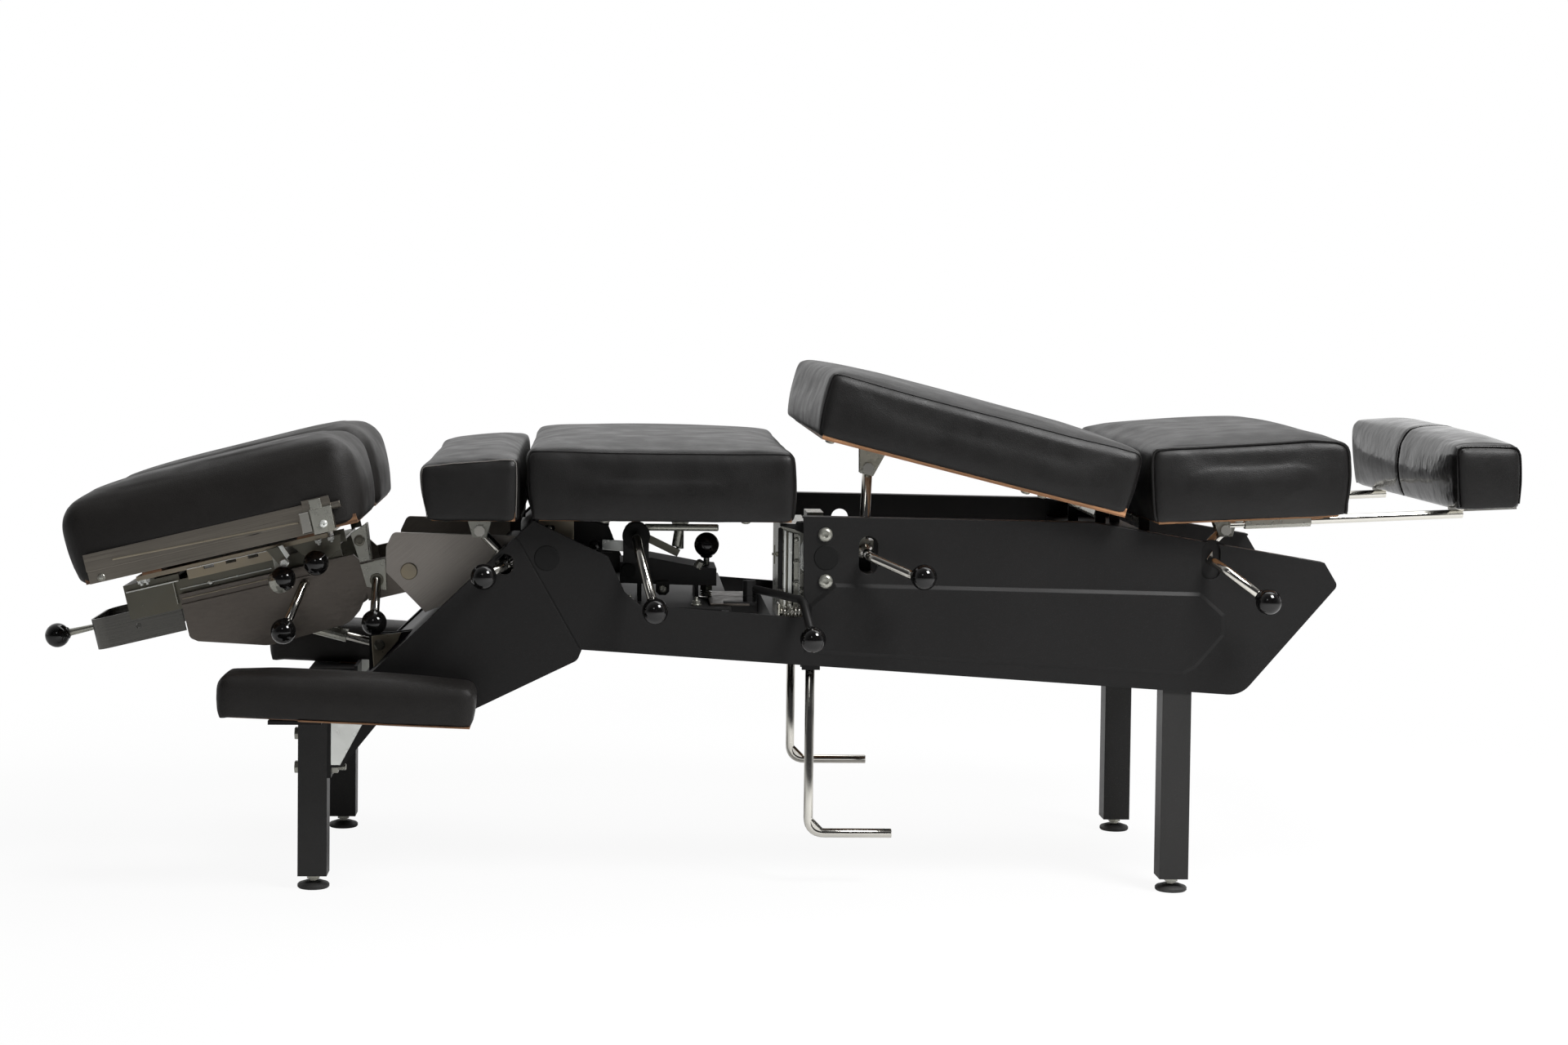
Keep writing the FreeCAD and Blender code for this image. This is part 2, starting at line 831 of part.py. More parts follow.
def levelling_feet():
    """Rubber pad with a threaded stem and its lock nut, under each leg."""
    feet = []
    y = -frame_half + sheet + leg_size / 2
    for x in (front_leg_x, rear_leg_x):
        rings = []
        for z, radius in ((0, foot_radius), (foot_height / 2, foot_radius), (foot_height, foot_neck_radius)):
            ring = []
            for i in range(cap_sides):
                angle = 2 * math.pi * i / cap_sides
                ring.append(Vector(x + radius * math.cos(angle), y + radius * math.sin(angle), z))
            rings.append(ring)
        stem = bar(Vector(x, y, foot_height), Vector(x, y, leg_bottom), foot_stem_radius, rod_sides)
        feet.append(solid_through(rings).fuse(stem))
    return both_sides(feet)


def leg_plates():
    """Bolting plate and gusset behind each front leg."""
    face = front_leg_x + leg_size / 2
    y0 = -frame_half + sheet
    bracket = box(face, face + plate, y0, y0 + leg_plate_width, leg_plate_base, leg_plate_top)
    back = face + plate
    outline = (
        (back, leg_plate_top), (back, leg_plate_base + gusset_toe),
        (back + gusset_toe, leg_plate_base + gusset_toe),
        (back + gusset_reach, leg_plate_base + gusset_drop), (back + gusset_reach, leg_plate_top),
    )
    gusset = profile(outline, y0, y0 + plate)
    return bracket.fuse(gusset).removeSplitter()


def armrest_bracket():
    """Flat arm from the front leg's head out under the armrest board."""
    right = front_leg_x + leg_size / 2
    inner = -frame_half + sheet + leg_size
    fall = (right - armrest_start) * math.tan(math.radians(armrest_tilt))
    return box(
        armrest_arm_start, right, -armrest_arm_outer, inner, front_leg_top, armrest_base - fall
    )


def leg_bolts():
    """Bolts through each front leg and its plate, with hexagon heads and nuts."""
    bolts = []
    left = front_leg_x - leg_size / 2
    right = front_leg_x + leg_size / 2 + plate
    y = -frame_half + sheet + leg_size / 2
    for z in leg_bolt_heights:
        head = bar(Vector(left - bolt_head_height, y, z), Vector(left, y, z), bolt_head_radius, hex_sides)
        nut = bar(Vector(right, y, z), Vector(right + bolt_tail, y, z), bolt_head_radius, hex_sides)
        bolts += [head, nut]
    return both_sides(bolts)


def panel_screws():
    """Round-head screws that hold the pelvic drop unit to each panel."""
    screws = []
    for x, z in screw_spots:
        face = -frame_half
        screws.append(bar_y(x, z, face - screw_head_height, face, screw_head_radius, cap_sides))
    return both_sides(screws)


def panel_plugs():
    """Black caps in the spare holes of both panels."""
    plugs = []
    for x, z in plug_spots:
        face = -frame_half
        plugs.append(bar_y(x, z, face - plug_lip, face, plug_radius + plug_lip, cap_sides))
    return both_sides(plugs)


# Hinges
def hinge_ears(pivot_x, pivot_z, foot_z):
    """Frame half of a hinge: two ears and the pin between them."""
    inner = knuckle_half + body_gap
    outer = inner + ear_thickness
    half = ear_radius / 2
    outline = (
        (pivot_x - ear_radius, foot_z), (pivot_x - ear_radius, pivot_z + half),
        (pivot_x - half, pivot_z + ear_radius), (pivot_x + half, pivot_z + ear_radius),
        (pivot_x + ear_radius, pivot_z + half), (pivot_x + ear_radius, foot_z),
    )
    near = profile(outline, -outer, -inner)
    pin = bar_y(pivot_x, pivot_z, -inner, inner, hinge_pin_radius, cap_sides)
    return [near, mirrored(near), pin]


def hinge_knuckle(seat_z, reach):
    """Moving half of a hinge, level about its pivot: a leaf under the board and its knuckle."""
    y0 = -knuckle_half
    y1 = knuckle_half
    leaf = box(min(0, reach), max(0, reach), y0, y1, seat_z - hinge_plate, seat_z)
    web = box(-hinge_plate, hinge_plate, y0, y1, 0, seat_z)
    half = lug_radius / 2
    outline = (
        (-lug_radius, half), (-lug_radius, -half), (-half, -lug_radius), (half, -lug_radius),
        (lug_radius, -half), (lug_radius, half), (half, lug_radius), (-half, lug_radius),
    )
    knuckle = profile(outline, y0, y1)
    bore = bore_y(0, 0, y0 - overrun, y1 + overrun, hinge_pin_radius)
    return leaf.fuse(web).fuse(knuckle).cut(bore).removeSplitter()


# Prop rods
def prop_cheeks(pin, seat_z):
    """Two cheeks and a base plate under a board, holding the prop rod's pin, level frame."""
    inner = prop_rod_radius + prop_cheek_gap
    outer = inner + prop_cheek
    x, z = pin
    solids = []
    half = prop_eye_radius * 2
    low = z - prop_eye_radius
    outline = ((x - half, seat_z), (x + half, seat_z), (x + prop_eye_radius, low), (x - prop_eye_radius, low))
    hole = bar_y(
        x, z, prop_y - outer - overrun, prop_y + outer + overrun, prop_pin_radius + prop_slot_gap,
        rod_sides,
    )
    for y0, y1 in ((prop_y - outer, prop_y - inner), (prop_y + inner, prop_y + outer)):
        solids.append(profile(outline, y0, y1).cut(hole))
    return solids


def prop_line(pin, clamp):
    """Unit direction of the rod from its pin down through the clamp, and the run to it."""
    dx = clamp[0] - pin[0]
    dz = clamp[1] - pin[1]
    run = math.hypot(dx, dz)
    return dx / run, dz / run, run


def prop_rod(pin, clamp, tail):
    """Round rod with a flattened eye and its headed pin."""
    ux, uz, run = prop_line(pin, clamp)
    x, z = pin
    half = prop_rod_radius
    length = run + tail
    start = Vector(x + ux * half, prop_y, z + uz * half)
    rod = cylinder(start, Vector(x + ux * length, prop_y, z + uz * length), prop_rod_radius)
    reach = half + prop_cheek_gap + prop_cheek + seat_gap
    eye = bar_y(x, z, prop_y - half, prop_y + half, prop_eye_radius, rod_sides)
    shaft = bar_y(x, z, prop_y - reach, prop_y + reach, prop_pin_radius, rod_sides)
    rod = rod.fuse(eye).fuse(shaft)
    for y in (prop_y - reach - prop_pin_head_height, prop_y + reach):
        rod = rod.fuse(bar_y(x, z, y, y + prop_pin_head_height, prop_pin_head, rod_sides))
    return rod.removeSplitter()


def clamp_shaft_end():
    """How far the locking lever's shaft reaches into its clamp, short of the rod."""
    return prop_y - prop_rod_radius - clamp_wall


def clamp_near():
    return clamp_shaft_end() - clamp_grip


def clamp_block(pin, clamp):
    """Swivel block with a bore for the rod and one from the near side for the lever's shaft."""
    ux, uz, run = prop_line(pin, clamp)
    half = prop_rod_radius + plate
    block = box(-half, half, clamp_near(), prop_y + half, -clamp_half_height, clamp_half_height)
    reach = clamp_half_height + overrun
    rod_bore = bar(
        Vector(0, prop_y, -reach), Vector(0, prop_y, reach),
        (prop_rod_radius + running_fit) / math.cos(math.pi / cap_sides), cap_sides,
    )
    block = block.cut(rod_bore)
    block.rotate(Vector(0, 0, 0), Vector(0, 1, 0), math.degrees(math.atan2(-ux, -uz)))
    block.translate(Vector(clamp[0], 0, clamp[1]))
    shaft_end = clamp_shaft_end() + seat_gap
    return block.cut(
        bore_y(clamp[0], clamp[1], clamp_near() - overrun, shaft_end, lever_rod_radius)
    )


def clamp_bracket(clamp):
    """Ear off the near panel's inner face that carries the clamp's shaft."""
    x, z = clamp
    inner = clamp_near() - body_gap
    half = clamp_ear_radius
    low = z - lever_slot_half * 2 - clamp_ear
    ear = bar_y(x, z, inner - clamp_ear, inner, half, cap_sides)
    leg = box(x - half, x + half, inner - clamp_ear, inner, low, z)
    foot = box(x - half, x + half, -frame_half + sheet, inner, low, low + clamp_ear)
    bore = bore_y(x, z, inner - clamp_ear - overrun, inner + overrun, lever_rod_radius)
    return ear.fuse(leg).fuse(foot).cut(bore).removeSplitter()


def clamp_lever(clamp, path):
    """Locking lever: shaft through the clamp and its bracket, then out past the panel."""
    x, z = clamp
    points = [Vector(x, clamp_shaft_end(), z)]
    for dx, y, dz in path:
        points.append(Vector(x + dx, y, z + dz))
    return lever(points, lever_rod_radius, lever_bend)


# Head section
def yoke_plate():
    """Upright pivot plate of the head section, its edge and foot on the slanted channel."""
    foot, top = slant_ends()
    slope = (top[1] - foot[1]) / (top[0] - foot[0])
    left = head_pivot_x - yoke_reach
    base = head_pivot_z + yoke_low
    height = yoke_rise - yoke_low
    points = spread(yoke_outline_shares, left, yoke_length, base, height)
    right_z = points[-1][1]
    right_x = foot[0] + (right_z + sheet * math.hypot(1, slope) - foot[1]) / slope
    chin = (head_pivot_x + yoke_chin_x, head_pivot_z + yoke_chin_z)
    low_x = chin[0] + yoke_chin_x
    points[-1] = (right_x, right_z)
    points.append((low_x, channel_top(low_x)))
    points.append(chin)
    radii = [0] * len(points)
    radii[1] = tip_corner
    radii[2] = tip_corner
    body = profile(points, -yoke_outer, -yoke_outer + yoke_thickness, radii)
    bore = pin_y(
        head_pivot_x, head_pivot_z, -yoke_outer - overrun, -yoke_outer + yoke_thickness + overrun,
        tilt_pin_radius,
    )
    return body.cut(bore)


def tilt_pin():
    """Pivot pin of the head section, headed at both ends."""
    solid = pin_y(head_pivot_x, head_pivot_z, -yoke_outer, yoke_outer, tilt_pin_radius)
    for y0, y1 in ((-yoke_outer - tilt_pin_head, -yoke_outer), (yoke_outer, yoke_outer + tilt_pin_head)):
        solid = solid.fuse(bar_y(head_pivot_x, head_pivot_z, y0, y1, tilt_pin_head_radius, cap_sides))
    return solid.removeSplitter()


def head_side_plate():
    """Tapered side plate of the head section with the lips of its slide rail."""
    points = spread(
        side_plate_outline_shares, side_plate_start, side_plate_length, side_plate_low,
        side_plate_high - side_plate_low,
    )
    radii = [tip_corner, 0, panel_corner, panel_corner, 0, 0, 0, 0, 0]
    outer = -side_plate_outer
    body = profile(points, outer, outer + plate, radii)
    end = side_plate_start + side_plate_length - cheek_length
    for top in (side_plate_high, side_plate_high - rail_lip_drop):
        body = body.fuse(
            box(side_plate_start, end, outer - rail_lip, outer, top - rail_lip_height, top)
        )
    return body.removeSplitter()


def tilt_block():
    """Barrel on the tilt pin with a cheek at each side that carries the side plates."""
    half = yoke_outer - yoke_thickness - body_gap
    barrel = bar_y(0, 0, -half, half, barrel_radius, cap_sides)
    cheek_outer = side_plate_outer + cheek_thickness
    solid = barrel
    for y0, y1 in ((-cheek_outer, -side_plate_outer), (side_plate_outer, cheek_outer)):
        solid = solid.fuse(box(-cheek_length, 0, y0, y1, cheek_low, cheek_high))
    web = box(-cheek_length + plate, 0, -side_plate_outer, side_plate_outer, -plate, plate)
    solid = solid.fuse(web)
    plates = box(
        -side_plate_length, side_plate_start + side_plate_length, -side_plate_outer,
        side_plate_outer, cheek_low - overrun, cheek_high + overrun,
    )
    solid = solid.cut(plates)
    bore = pin_y(0, 0, -half - overrun, half + overrun, tilt_pin_radius + running_fit)
    slot = bore_y(
        tilt_shaft[0], tilt_shaft[1], -cheek_outer - overrun, -side_plate_outer + overrun,
        lever_rod_radius,
    )
    return solid.cut(bore).cut(slot).removeSplitter()


def head_spacers():
    """Round bars that tie the two side plates."""
    inner = side_plate_outer - plate
    bars = [bar_y(x, z, -inner, inner, spacer_radius, rod_sides) for x, z in spacer_spots]
    pin = bar_y(strut_head[0], strut_head[1], -inner, inner, strut_pin_radius, rod_sides)
    return bars + [pin]


def head_frame():
    plain = head_side_plate()
    near = plain.cut(
        bore_y(
            extend_shaft[0], extend_shaft[1], -side_plate_outer - overrun,
            -side_plate_outer + plate + overrun, lever_rod_radius,
        )
    )
    solids = [near, mirrored(plain), tilt_block()] + head_spacers()
    return tilted(solids, head_pivot_x, head_pivot_z, head_tilt)


def head_carriage():
    """Inverted channel that slides between the side plates, with its end block and latch ears."""
    outer = box(carriage_start, carriage_end, -carriage_outer, carriage_outer, carriage_low, carriage_high)
    wall_half = carriage_outer - carriage_wall
    inner = box(
        carriage_start - overrun, carriage_end + overrun, -wall_half, wall_half,
        carriage_low - overrun, carriage_high - carriage_wall,
    )
    channel = outer.cut(inner)
    block = box(
        end_block_start, carriage_start, -end_block_half, end_block_half, end_block_low,
        end_block_high,
    )
    inner_half = end_block_half - carriage_wall
    floor = strap_high + carriage_wall
    upper = box(
        end_block_start + carriage_wall, carriage_start + overrun, -inner_half, inner_half,
        floor, end_block_high - carriage_wall,
    )
    lower = box(
        end_block_start - overrun, carriage_start + overrun, -inner_half, inner_half,
        end_block_low - overrun, strap_high,
    )
    y0 = -carriage_outer - overrun
    y1 = -carriage_outer + carriage_wall + overrun
    shaft = bore_y(cock_shaft[0], cock_shaft[1], y0, y1, lever_rod_radius)
    latch = box(
        latch_x - latch_length, latch_x, -carriage_outer, -carriage_outer + carriage_wall,
        carriage_high, latch_high,
    )
    block = block.cut(upper).cut(lower)
    ridge = box(
        drop_pivot_x - plate, drop_pivot_x + plate, -end_block_half, end_block_half,
        end_block_high, drop_plate_z - seat_gap,
    )
    solid = channel.fuse(block).cut(shaft).fuse(latch).fuse(mirrored(latch)).fuse(ridge)
    return solid.removeSplitter()


def paper_strap():
    """Flat strap bent to a U, for a paper roll's axle, riveted inside the carriage."""
    path = [
        (strap_end, -strap_half), (strap_start, -strap_half), (strap_start, strap_half),
        (strap_end, strap_half),
    ]
    outer = rounded_wire(path, [0, strap_bend, strap_bend, 0])
    face = Part.Face(outer)
    inner_path = [
        (strap_end + overrun, -strap_half + sheet), (strap_start + sheet, -strap_half + sheet),
        (strap_start + sheet, strap_half - sheet), (strap_end + overrun, strap_half - sheet),
    ]
    hollow = Part.Face(rounded_wire(inner_path, [0, strap_bend - sheet, strap_bend - sheet, 0]))
    solid = face.extrude(Vector(0, strap_high - strap_low, 0))
    hollow.translate(Vector(0, -overrun, 0))
    solid = solid.cut(hollow.extrude(Vector(0, strap_high - strap_low + overrun * 2, 0)))
    solid.rotate(Vector(0, 0, 0), Vector(1, 0, 0), 90)
    solid.translate(Vector(0, 0, strap_low))
    middle = (strap_low + strap_high) / 2
    hole = pin_y(strap_hole_x, middle, -strap_half - overrun, strap_half + overrun, strap_hole_radius)
    return solid.cut(hole)


def pull_knob():
    """Ball-ended handle on the strap's end, with its nut inside the strap."""
    centre = Vector(pull_knob_x, 0, pull_knob_z)
    knob = ball(centre)
    inside = strap_start + sheet
    outside = Vector(strap_start, 0, pull_knob_z)
    rod = bar(centre, outside, pull_rod_radius, rod_sides)
    nut_end = Vector(inside + pull_nut_height, 0, pull_knob_z)
    nut = bar(Vector(inside, 0, pull_knob_z), nut_end, pull_nut_radius, hex_sides)
    return [rod.cut(knob), nut, knob]


def head_drop_plate():
    """Plate that drops a little under the face cushions, with its notched rack and hinge lip."""
    top = drop_plate_z + drop_plate_thickness
    slab = box(drop_plate_start, drop_plate_end, -drop_plate_half, drop_plate_half, drop_plate_z, top)
    solids = slab
    rack = box(rack_start, rack_end, -drop_plate_half, -drop_plate_half + plate, rack_low, drop_plate_z)
    pitch = (rack_end - rack_start) / (rack_notches + 1)
    for i in range(rack_notches):
        x = rack_start + pitch * (i + 1)
        rack = rack.cut(
            box(
                x - rack_notch / 2, x + rack_notch / 2, -drop_plate_half - overrun,
                -drop_plate_half + plate + overrun, drop_plate_z - rack_notch_depth, drop_plate_z,
            )
        )
    return solids.fuse(rack).fuse(mirrored(rack)).removeSplitter()


def face_pad():
    """Near face cushion, its board and the two cross runners under it, level."""
    bottom = face_board_bottom
    board = box(
        face_left, face_right, -face_outer + cover_edge, -face_inner - cover_edge, bottom,
        bottom + board_thickness,
    )
    cover = cushion(
        face_left - face_bulge, face_right + face_bulge, -face_outer, -face_inner,
        bottom + board_lip, bottom + face_height, bottom + face_height, face_corner,
    )
    runners = [
        box(
            x - runner_width / 2, x + runner_width / 2, -drop_plate_half, -face_inner - cover_edge,
            bottom - runner_height, bottom,
        )
        for x in runner_spots
    ]
    cover = cover.cut(board)
    reach = paper_screw_radius / 2 + seat_gap
    for x in paper_screw_spots:
        y1 = -face_outer + cover_edge
        hole = bar_y(x, paper_screw_z(), -face_outer - overrun, y1, reach, rod_sides)
        cover = cover.cut(hole)
    return [board] + runners, cover


def paper_screw_z():
    return face_board_bottom + board_thickness / 2


def paper_rail():
    """Z-section rail on the face cushion's outer side, with its screws and end block."""
    bottom = face_board_bottom
    wall = -face_outer - seat_gap
    skin = paper_rail_sheet
    low = box(paper_rail_start, paper_rail_end, wall - skin, wall, bottom, bottom + paper_rail_low)
    ledge = box(
        paper_rail_start, paper_rail_end, wall - paper_rail_step - skin, wall,
        bottom + paper_rail_low - skin, bottom + paper_rail_low,
    )
    high = box(
        paper_rail_start, paper_rail_end, wall - paper_rail_step - skin, wall - paper_rail_step,
        bottom + paper_rail_low - skin, bottom + paper_rail_height,
    )
    end = box(
        paper_rail_end - paper_block_length, paper_rail_end, wall - paper_block_depth,
        wall - paper_rail_step - skin, bottom + paper_block_low, bottom + paper_block_high,
    )
    rail = low.fuse(ledge).fuse(high).fuse(end)
    middle = bottom + (paper_block_low + paper_block_high) / 2
    y = wall - paper_rail_step
    rod_end = Vector(paper_rail_end + paper_rod_reach, y, middle)
    rod = bar(Vector(paper_rail_end, y, middle), rod_end, paper_rod_radius, rod_sides)
    solids = [rail.fuse(rod)]
    for x in paper_screw_spots:
        head = (wall - skin - paper_screw_height, wall - skin)
        solids.append(bar_y(x, paper_screw_z(), head[0], head[1], paper_screw_radius, rod_sides))
        shank = (wall, -face_outer + cover_edge)
        radius = paper_screw_radius / 2
        solids.append(bar_y(x, paper_screw_z(), shank[0], shank[1], radius, rod_sides))
    return solids


def spread_lever():
    """Flat arm with a ball knob that locks the face cushions' sideways slide."""
    x, z = spread_pivot
    y1 = -drop_plate_half - body_gap
    y0 = y1 - plate
    low = z - spread_arm_length
    arm = box(x - spread_arm_half, x + spread_arm_half, y0, y1, low, z)
    for end in (z, low):
        arm = arm.fuse(bar_y(x, end, y0, y1, spread_arm_half, cap_sides))
    knob = ball(Vector(x, spread_knob_y, low))
    stud = bar_y(x, low, spread_knob_y, y0, lever_rod_radius, rod_sides).cut(knob)
    return [arm.fuse(stud).removeSplitter(), knob]


def head_lever(shaft, knob, inner_y, out_y):
    """Lever on a shaft along Y at shaft, bent outside the plates towards its knob."""
    x, z = shaft
    bend_y = out_y - head_lever_out
    points = [Vector(x, inner_y, z), Vector(x, bend_y, z), Vector(knob[0], knob[1], knob[2])]
    return lever(points, lever_rod_radius, lever_bend)


def strut_parts():
    """Bracket, rod and tube of the strut that steadies the head section, in table places."""
    head = world_point(strut_head, head_pivot_x, head_pivot_z, head_tilt)
    dx = head[0] - strut_foot[0]
    dz = head[1] - strut_foot[1]
    y0 = strut_y - strut_eye_half
    y1 = strut_y + strut_eye_half

    def along(share):
        return Vector(strut_foot[0] + dx * share, strut_y, strut_foot[1] + dz * share)

    tube = bar(along(strut_tube_start_share), along(1.0), strut_tube_radius, cap_sides)
    tube = tube.fuse(bar_y(head[0], head[1], y0, y1, strut_eye_radius, cap_sides))
    bore_start = along(strut_tube_start_share / 2)
    bore_end = along(strut_rod_end_share + strut_bore_share)
    tube = tube.cut(cylinder(bore_start, bore_end, strut_rod_radius + running_fit))
    tube = tube.cut(
        bar_y(head[0], head[1], y0 - overrun, y1 + overrun, strut_pin_radius + strut_slot_gap, rod_sides)
    )
    rod = cylinder(along(0.0), along(strut_rod_end_share), strut_rod_radius)
    rod = rod.fuse(bar_y(strut_foot[0], strut_foot[1], y0, y1, strut_eye_radius, cap_sides))
    rod = rod.cut(
        bore_y(strut_foot[0], strut_foot[1], y0 - overrun, y1 + overrun, strut_pin_radius)
    )
    return tube.removeSplitter(), rod.removeSplitter()


def strut_bracket():
    """Two cheeks and a pin on the slanted channel for the strut's foot."""
    x, z = strut_foot
    half = strut_bracket_half
    right = x + strut_bracket_reach
    corners = (
        (x - half, z - half), (x - half, z + strut_bracket_high), (x + half, z + strut_bracket_high),
        (right, channel_top(right)), (x - half, channel_top(x - half)),
    )
    if corners[-1][1] > corners[0][1]:
        corners = corners[1:]
    solids = []
    inner = strut_eye_half + body_gap
    outer = inner + strut_cheek
    for y0, y1 in ((strut_y - outer, strut_y - inner), (strut_y + inner, strut_y + outer)):
        solids.append(profile(corners, y0, y1))
    solids.append(bar_y(x, z, strut_y - inner, strut_y + inner, strut_pin_radius, cap_sides))
    return solids


# Drop mechanism under the cut-out
def drop_box():
    """Folded black housing on the cross channel, with the lever's hub and the stop rod."""
    points = spread(
        drop_box_outline_shares, drop_box_x[0], drop_box_x[1] - drop_box_x[0], drop_box_z[0],
        drop_box_z[1] - drop_box_z[0],
    )
    housing = profile(points, drop_box_y[0], drop_box_y[1])
    screw_bore = Part.makeCylinder(
        tension_radius + running_fit, drop_box_z[1] - drop_beam_z[1] + overrun,
        Vector(tension_x, tension_y, drop_beam_z[1] - overrun),
    )
    feet = []
    for x in (drop_box_x[0] + drop_box_foot, drop_box_x[1] - drop_box_foot - plate):
        feet.append(
            box(x, x + plate, drop_box_y[0], drop_box_y[1], drop_beam_z[1], drop_box_z[0] + plate)
        )
    solid = housing
    for foot in feet:
        solid = solid.fuse(foot)
    hub_y0 = hub_y - hub_half
    hub_y1 = hub_y + hub_half
    hub = bar_y(hub_x, hub_z, hub_y0, hub_y1, hub_radius, cap_sides)
    stem = box(hub_x - hub_radius, hub_x + hub_radius, hub_y0, hub_y1, drop_box_z[1] - plate, hub_z)
    bore = bore_y(hub_x, hub_z, hub_y0 - overrun, hub_y1 + overrun, lever_rod_radius)
    solid = solid.fuse(hub).fuse(stem).cut(bore).cut(screw_bore)
    stop = bar(
        Vector(hub_x + lever_rod_radius + plate, hub_y, cross_rod_z),
        Vector(cross_rod_end, hub_y, cross_rod_z), cross_rod_radius, rod_sides,
    )
    return solid.fuse(stop).removeSplitter()


def thoracic_lever():
    """Cocking lever: shaft through the hub, cam arm inside, bent rod and knob outside."""
    y_arm = cam_arm_y
    points = [Vector(hub_x, y_arm, hub_z), Vector(hub_x, drop_lever_shaft_out, hub_z)]
    for dx, y, dz in drop_lever_path:
        points.append(Vector(hub_x + dx, y, hub_z + dz))
    rod, knob = lever(points, lever_rod_radius, lever_bend)
    tip_x, tip_z = cam_arm_tip
    length = math.hypot(tip_x - hub_x, tip_z - hub_z)
    arm = Part.makeBox(
        length, cam_arm_thickness, cam_arm_half * 2, Vector(0, 0, -cam_arm_half)
    )
    arm.rotate(Vector(0, 0, 0), Vector(0, 1, 0), math.degrees(math.atan2(hub_z - tip_z, tip_x - hub_x)))
    arm.translate(Vector(hub_x, y_arm, hub_z))
    boss = bar_y(hub_x, hub_z, y_arm, y_arm + cam_arm_thickness, cam_arm_half * 2, rod_sides)
    return [rod.fuse(arm).fuse(boss).removeSplitter(), knob]


def thoracic_post():
    """Tube with a round boss under the drop cushion, standing over the cam arm's tip."""
    seat = thoracic_pivot_z + thoracic_rise
    boss_z = seat - post_boss_drop
    foot = Vector(post_x, post_y, post_foot_z)
    tube = bar(foot, Vector(post_x, post_y, boss_z), post_radius, rod_sides)
    boss = bar_y(
        post_x, boss_z, post_y - post_boss_half, post_y + post_boss_half, post_boss_radius,
        cap_sides,
    )
    trim = box(
        post_x - post_boss_radius * 2, post_x + post_boss_radius * 2,
        post_y - post_boss_radius * 2, post_y + post_boss_radius * 2, seat, seat + post_boss_radius,
    )
    return tube.fuse(boss).cut(trim).removeSplitter()


def tension_screw():
    """Threaded stem with a ball knob above the housing and a nut below it."""
    knob = ball(Vector(tension_x, tension_y, tension_knob_z))
    stem = Part.makeCylinder(
        tension_radius, tension_knob_z - tension_tail_z, Vector(tension_x, tension_y, tension_tail_z)
    )
    nut_top = drop_box_z[0] - seat_gap
    nut = bar(
        Vector(tension_x, tension_y, nut_top - tension_nut_height),
        Vector(tension_x, tension_y, nut_top), tension_nut_radius, hex_sides,
    )
    return [stem.cut(knob).fuse(nut).removeSplitter(), knob]


# Pelvic drop unit
def drop_channel():
    """Zinc channel standing at the cut-out's foot end behind the near panel, with a top flange."""
    x0, x1 = drop_channel_x
    z0, z1 = drop_channel_z
    y0, y1 = drop_channel_y
    wall = drop_channel_wall
    outer = box(x0, x1, y0, y1, z0, z1)
    inner = box(x0 + wall, x1 + overrun, y0 + wall, y1 - wall, z0 + wall, z1 - wall)
    return outer.cut(inner)


def pelvic_post():
    """Sliding post of the pelvic drop, behind the channel."""
    x0 = drop_channel_x[1] + seat_gap
    y0, y1 = drop_post_y
    return box(x0, x0 + drop_post_depth, y0, y1, drop_post_low, drop_post_top)


def release_lever():
    """Bent black release lever on an upright pivot."""
    points = [Vector(*point) for point in release_path]
    route = bend_route(points, lever_bend)
    knob = ball(points[-1])
    rod = mitred(route, route[1].sub(route[0]), release_rod_radius).cut(knob)
    x, y = release_pivot
    z = release_path[0][2]
    half = release_hub_height / 2
    hub = bar(Vector(x, y, z - half), Vector(x, y, z + half), release_hub_radius, rod_sides)
    bore = Part.makeCylinder(
        release_post_radius + running_fit, release_hub_height + overrun * 2,
        Vector(x, y, z - release_hub_height / 2 - overrun),
    )
    return [rod.fuse(hub).cut(bore).removeSplitter(), knob]


def release_post():
    """Upright pivot post of the release lever, on the drop beam's end."""
    x, y = release_pivot
    z = release_path[0][2]
    low = z - release_hub_height / 2
    base_z = drop_beam_z[1]
    foot = box(
        drop_beam_x[1] - release_hub_radius, x + release_hub_radius, y - release_hub_radius,
        y + release_hub_radius, base_z, base_z + plate,
    )
    column = bar(
        Vector(x, y, base_z), Vector(x, y, low - body_gap), release_hub_radius, rod_sides
    )
    pin_top = Vector(x, y, low + release_hub_height)
    pin = bar(Vector(x, y, base_z), pin_top, release_post_radius, cap_sides)
    return foot.fuse(column).fuse(pin).removeSplitter()


def pedal_hangers():
    """Two ears and a pin for each pedal, hung from the pelvic beam."""
    solids = []
    inner = pedal_hub_width / 2 + body_gap
    x = pedal_shaft_x
    half = pedal_hanger_half
    low = pedal_shaft_z - half
    for side in (-1, 1):
        centre = side * pedal_y
        for y in (centre - inner - pedal_hanger, centre + inner):
            top = pelvic_beam_z[1] - beam_wall
            solids.append(box(x - half, x + half, y, y + pedal_hanger, low, top))
        ends = (centre - inner, centre + inner)
        solids.append(bar_y(x, pedal_shaft_z, ends[0], ends[1], pedal_shaft_radius, cap_sides))
    return solids


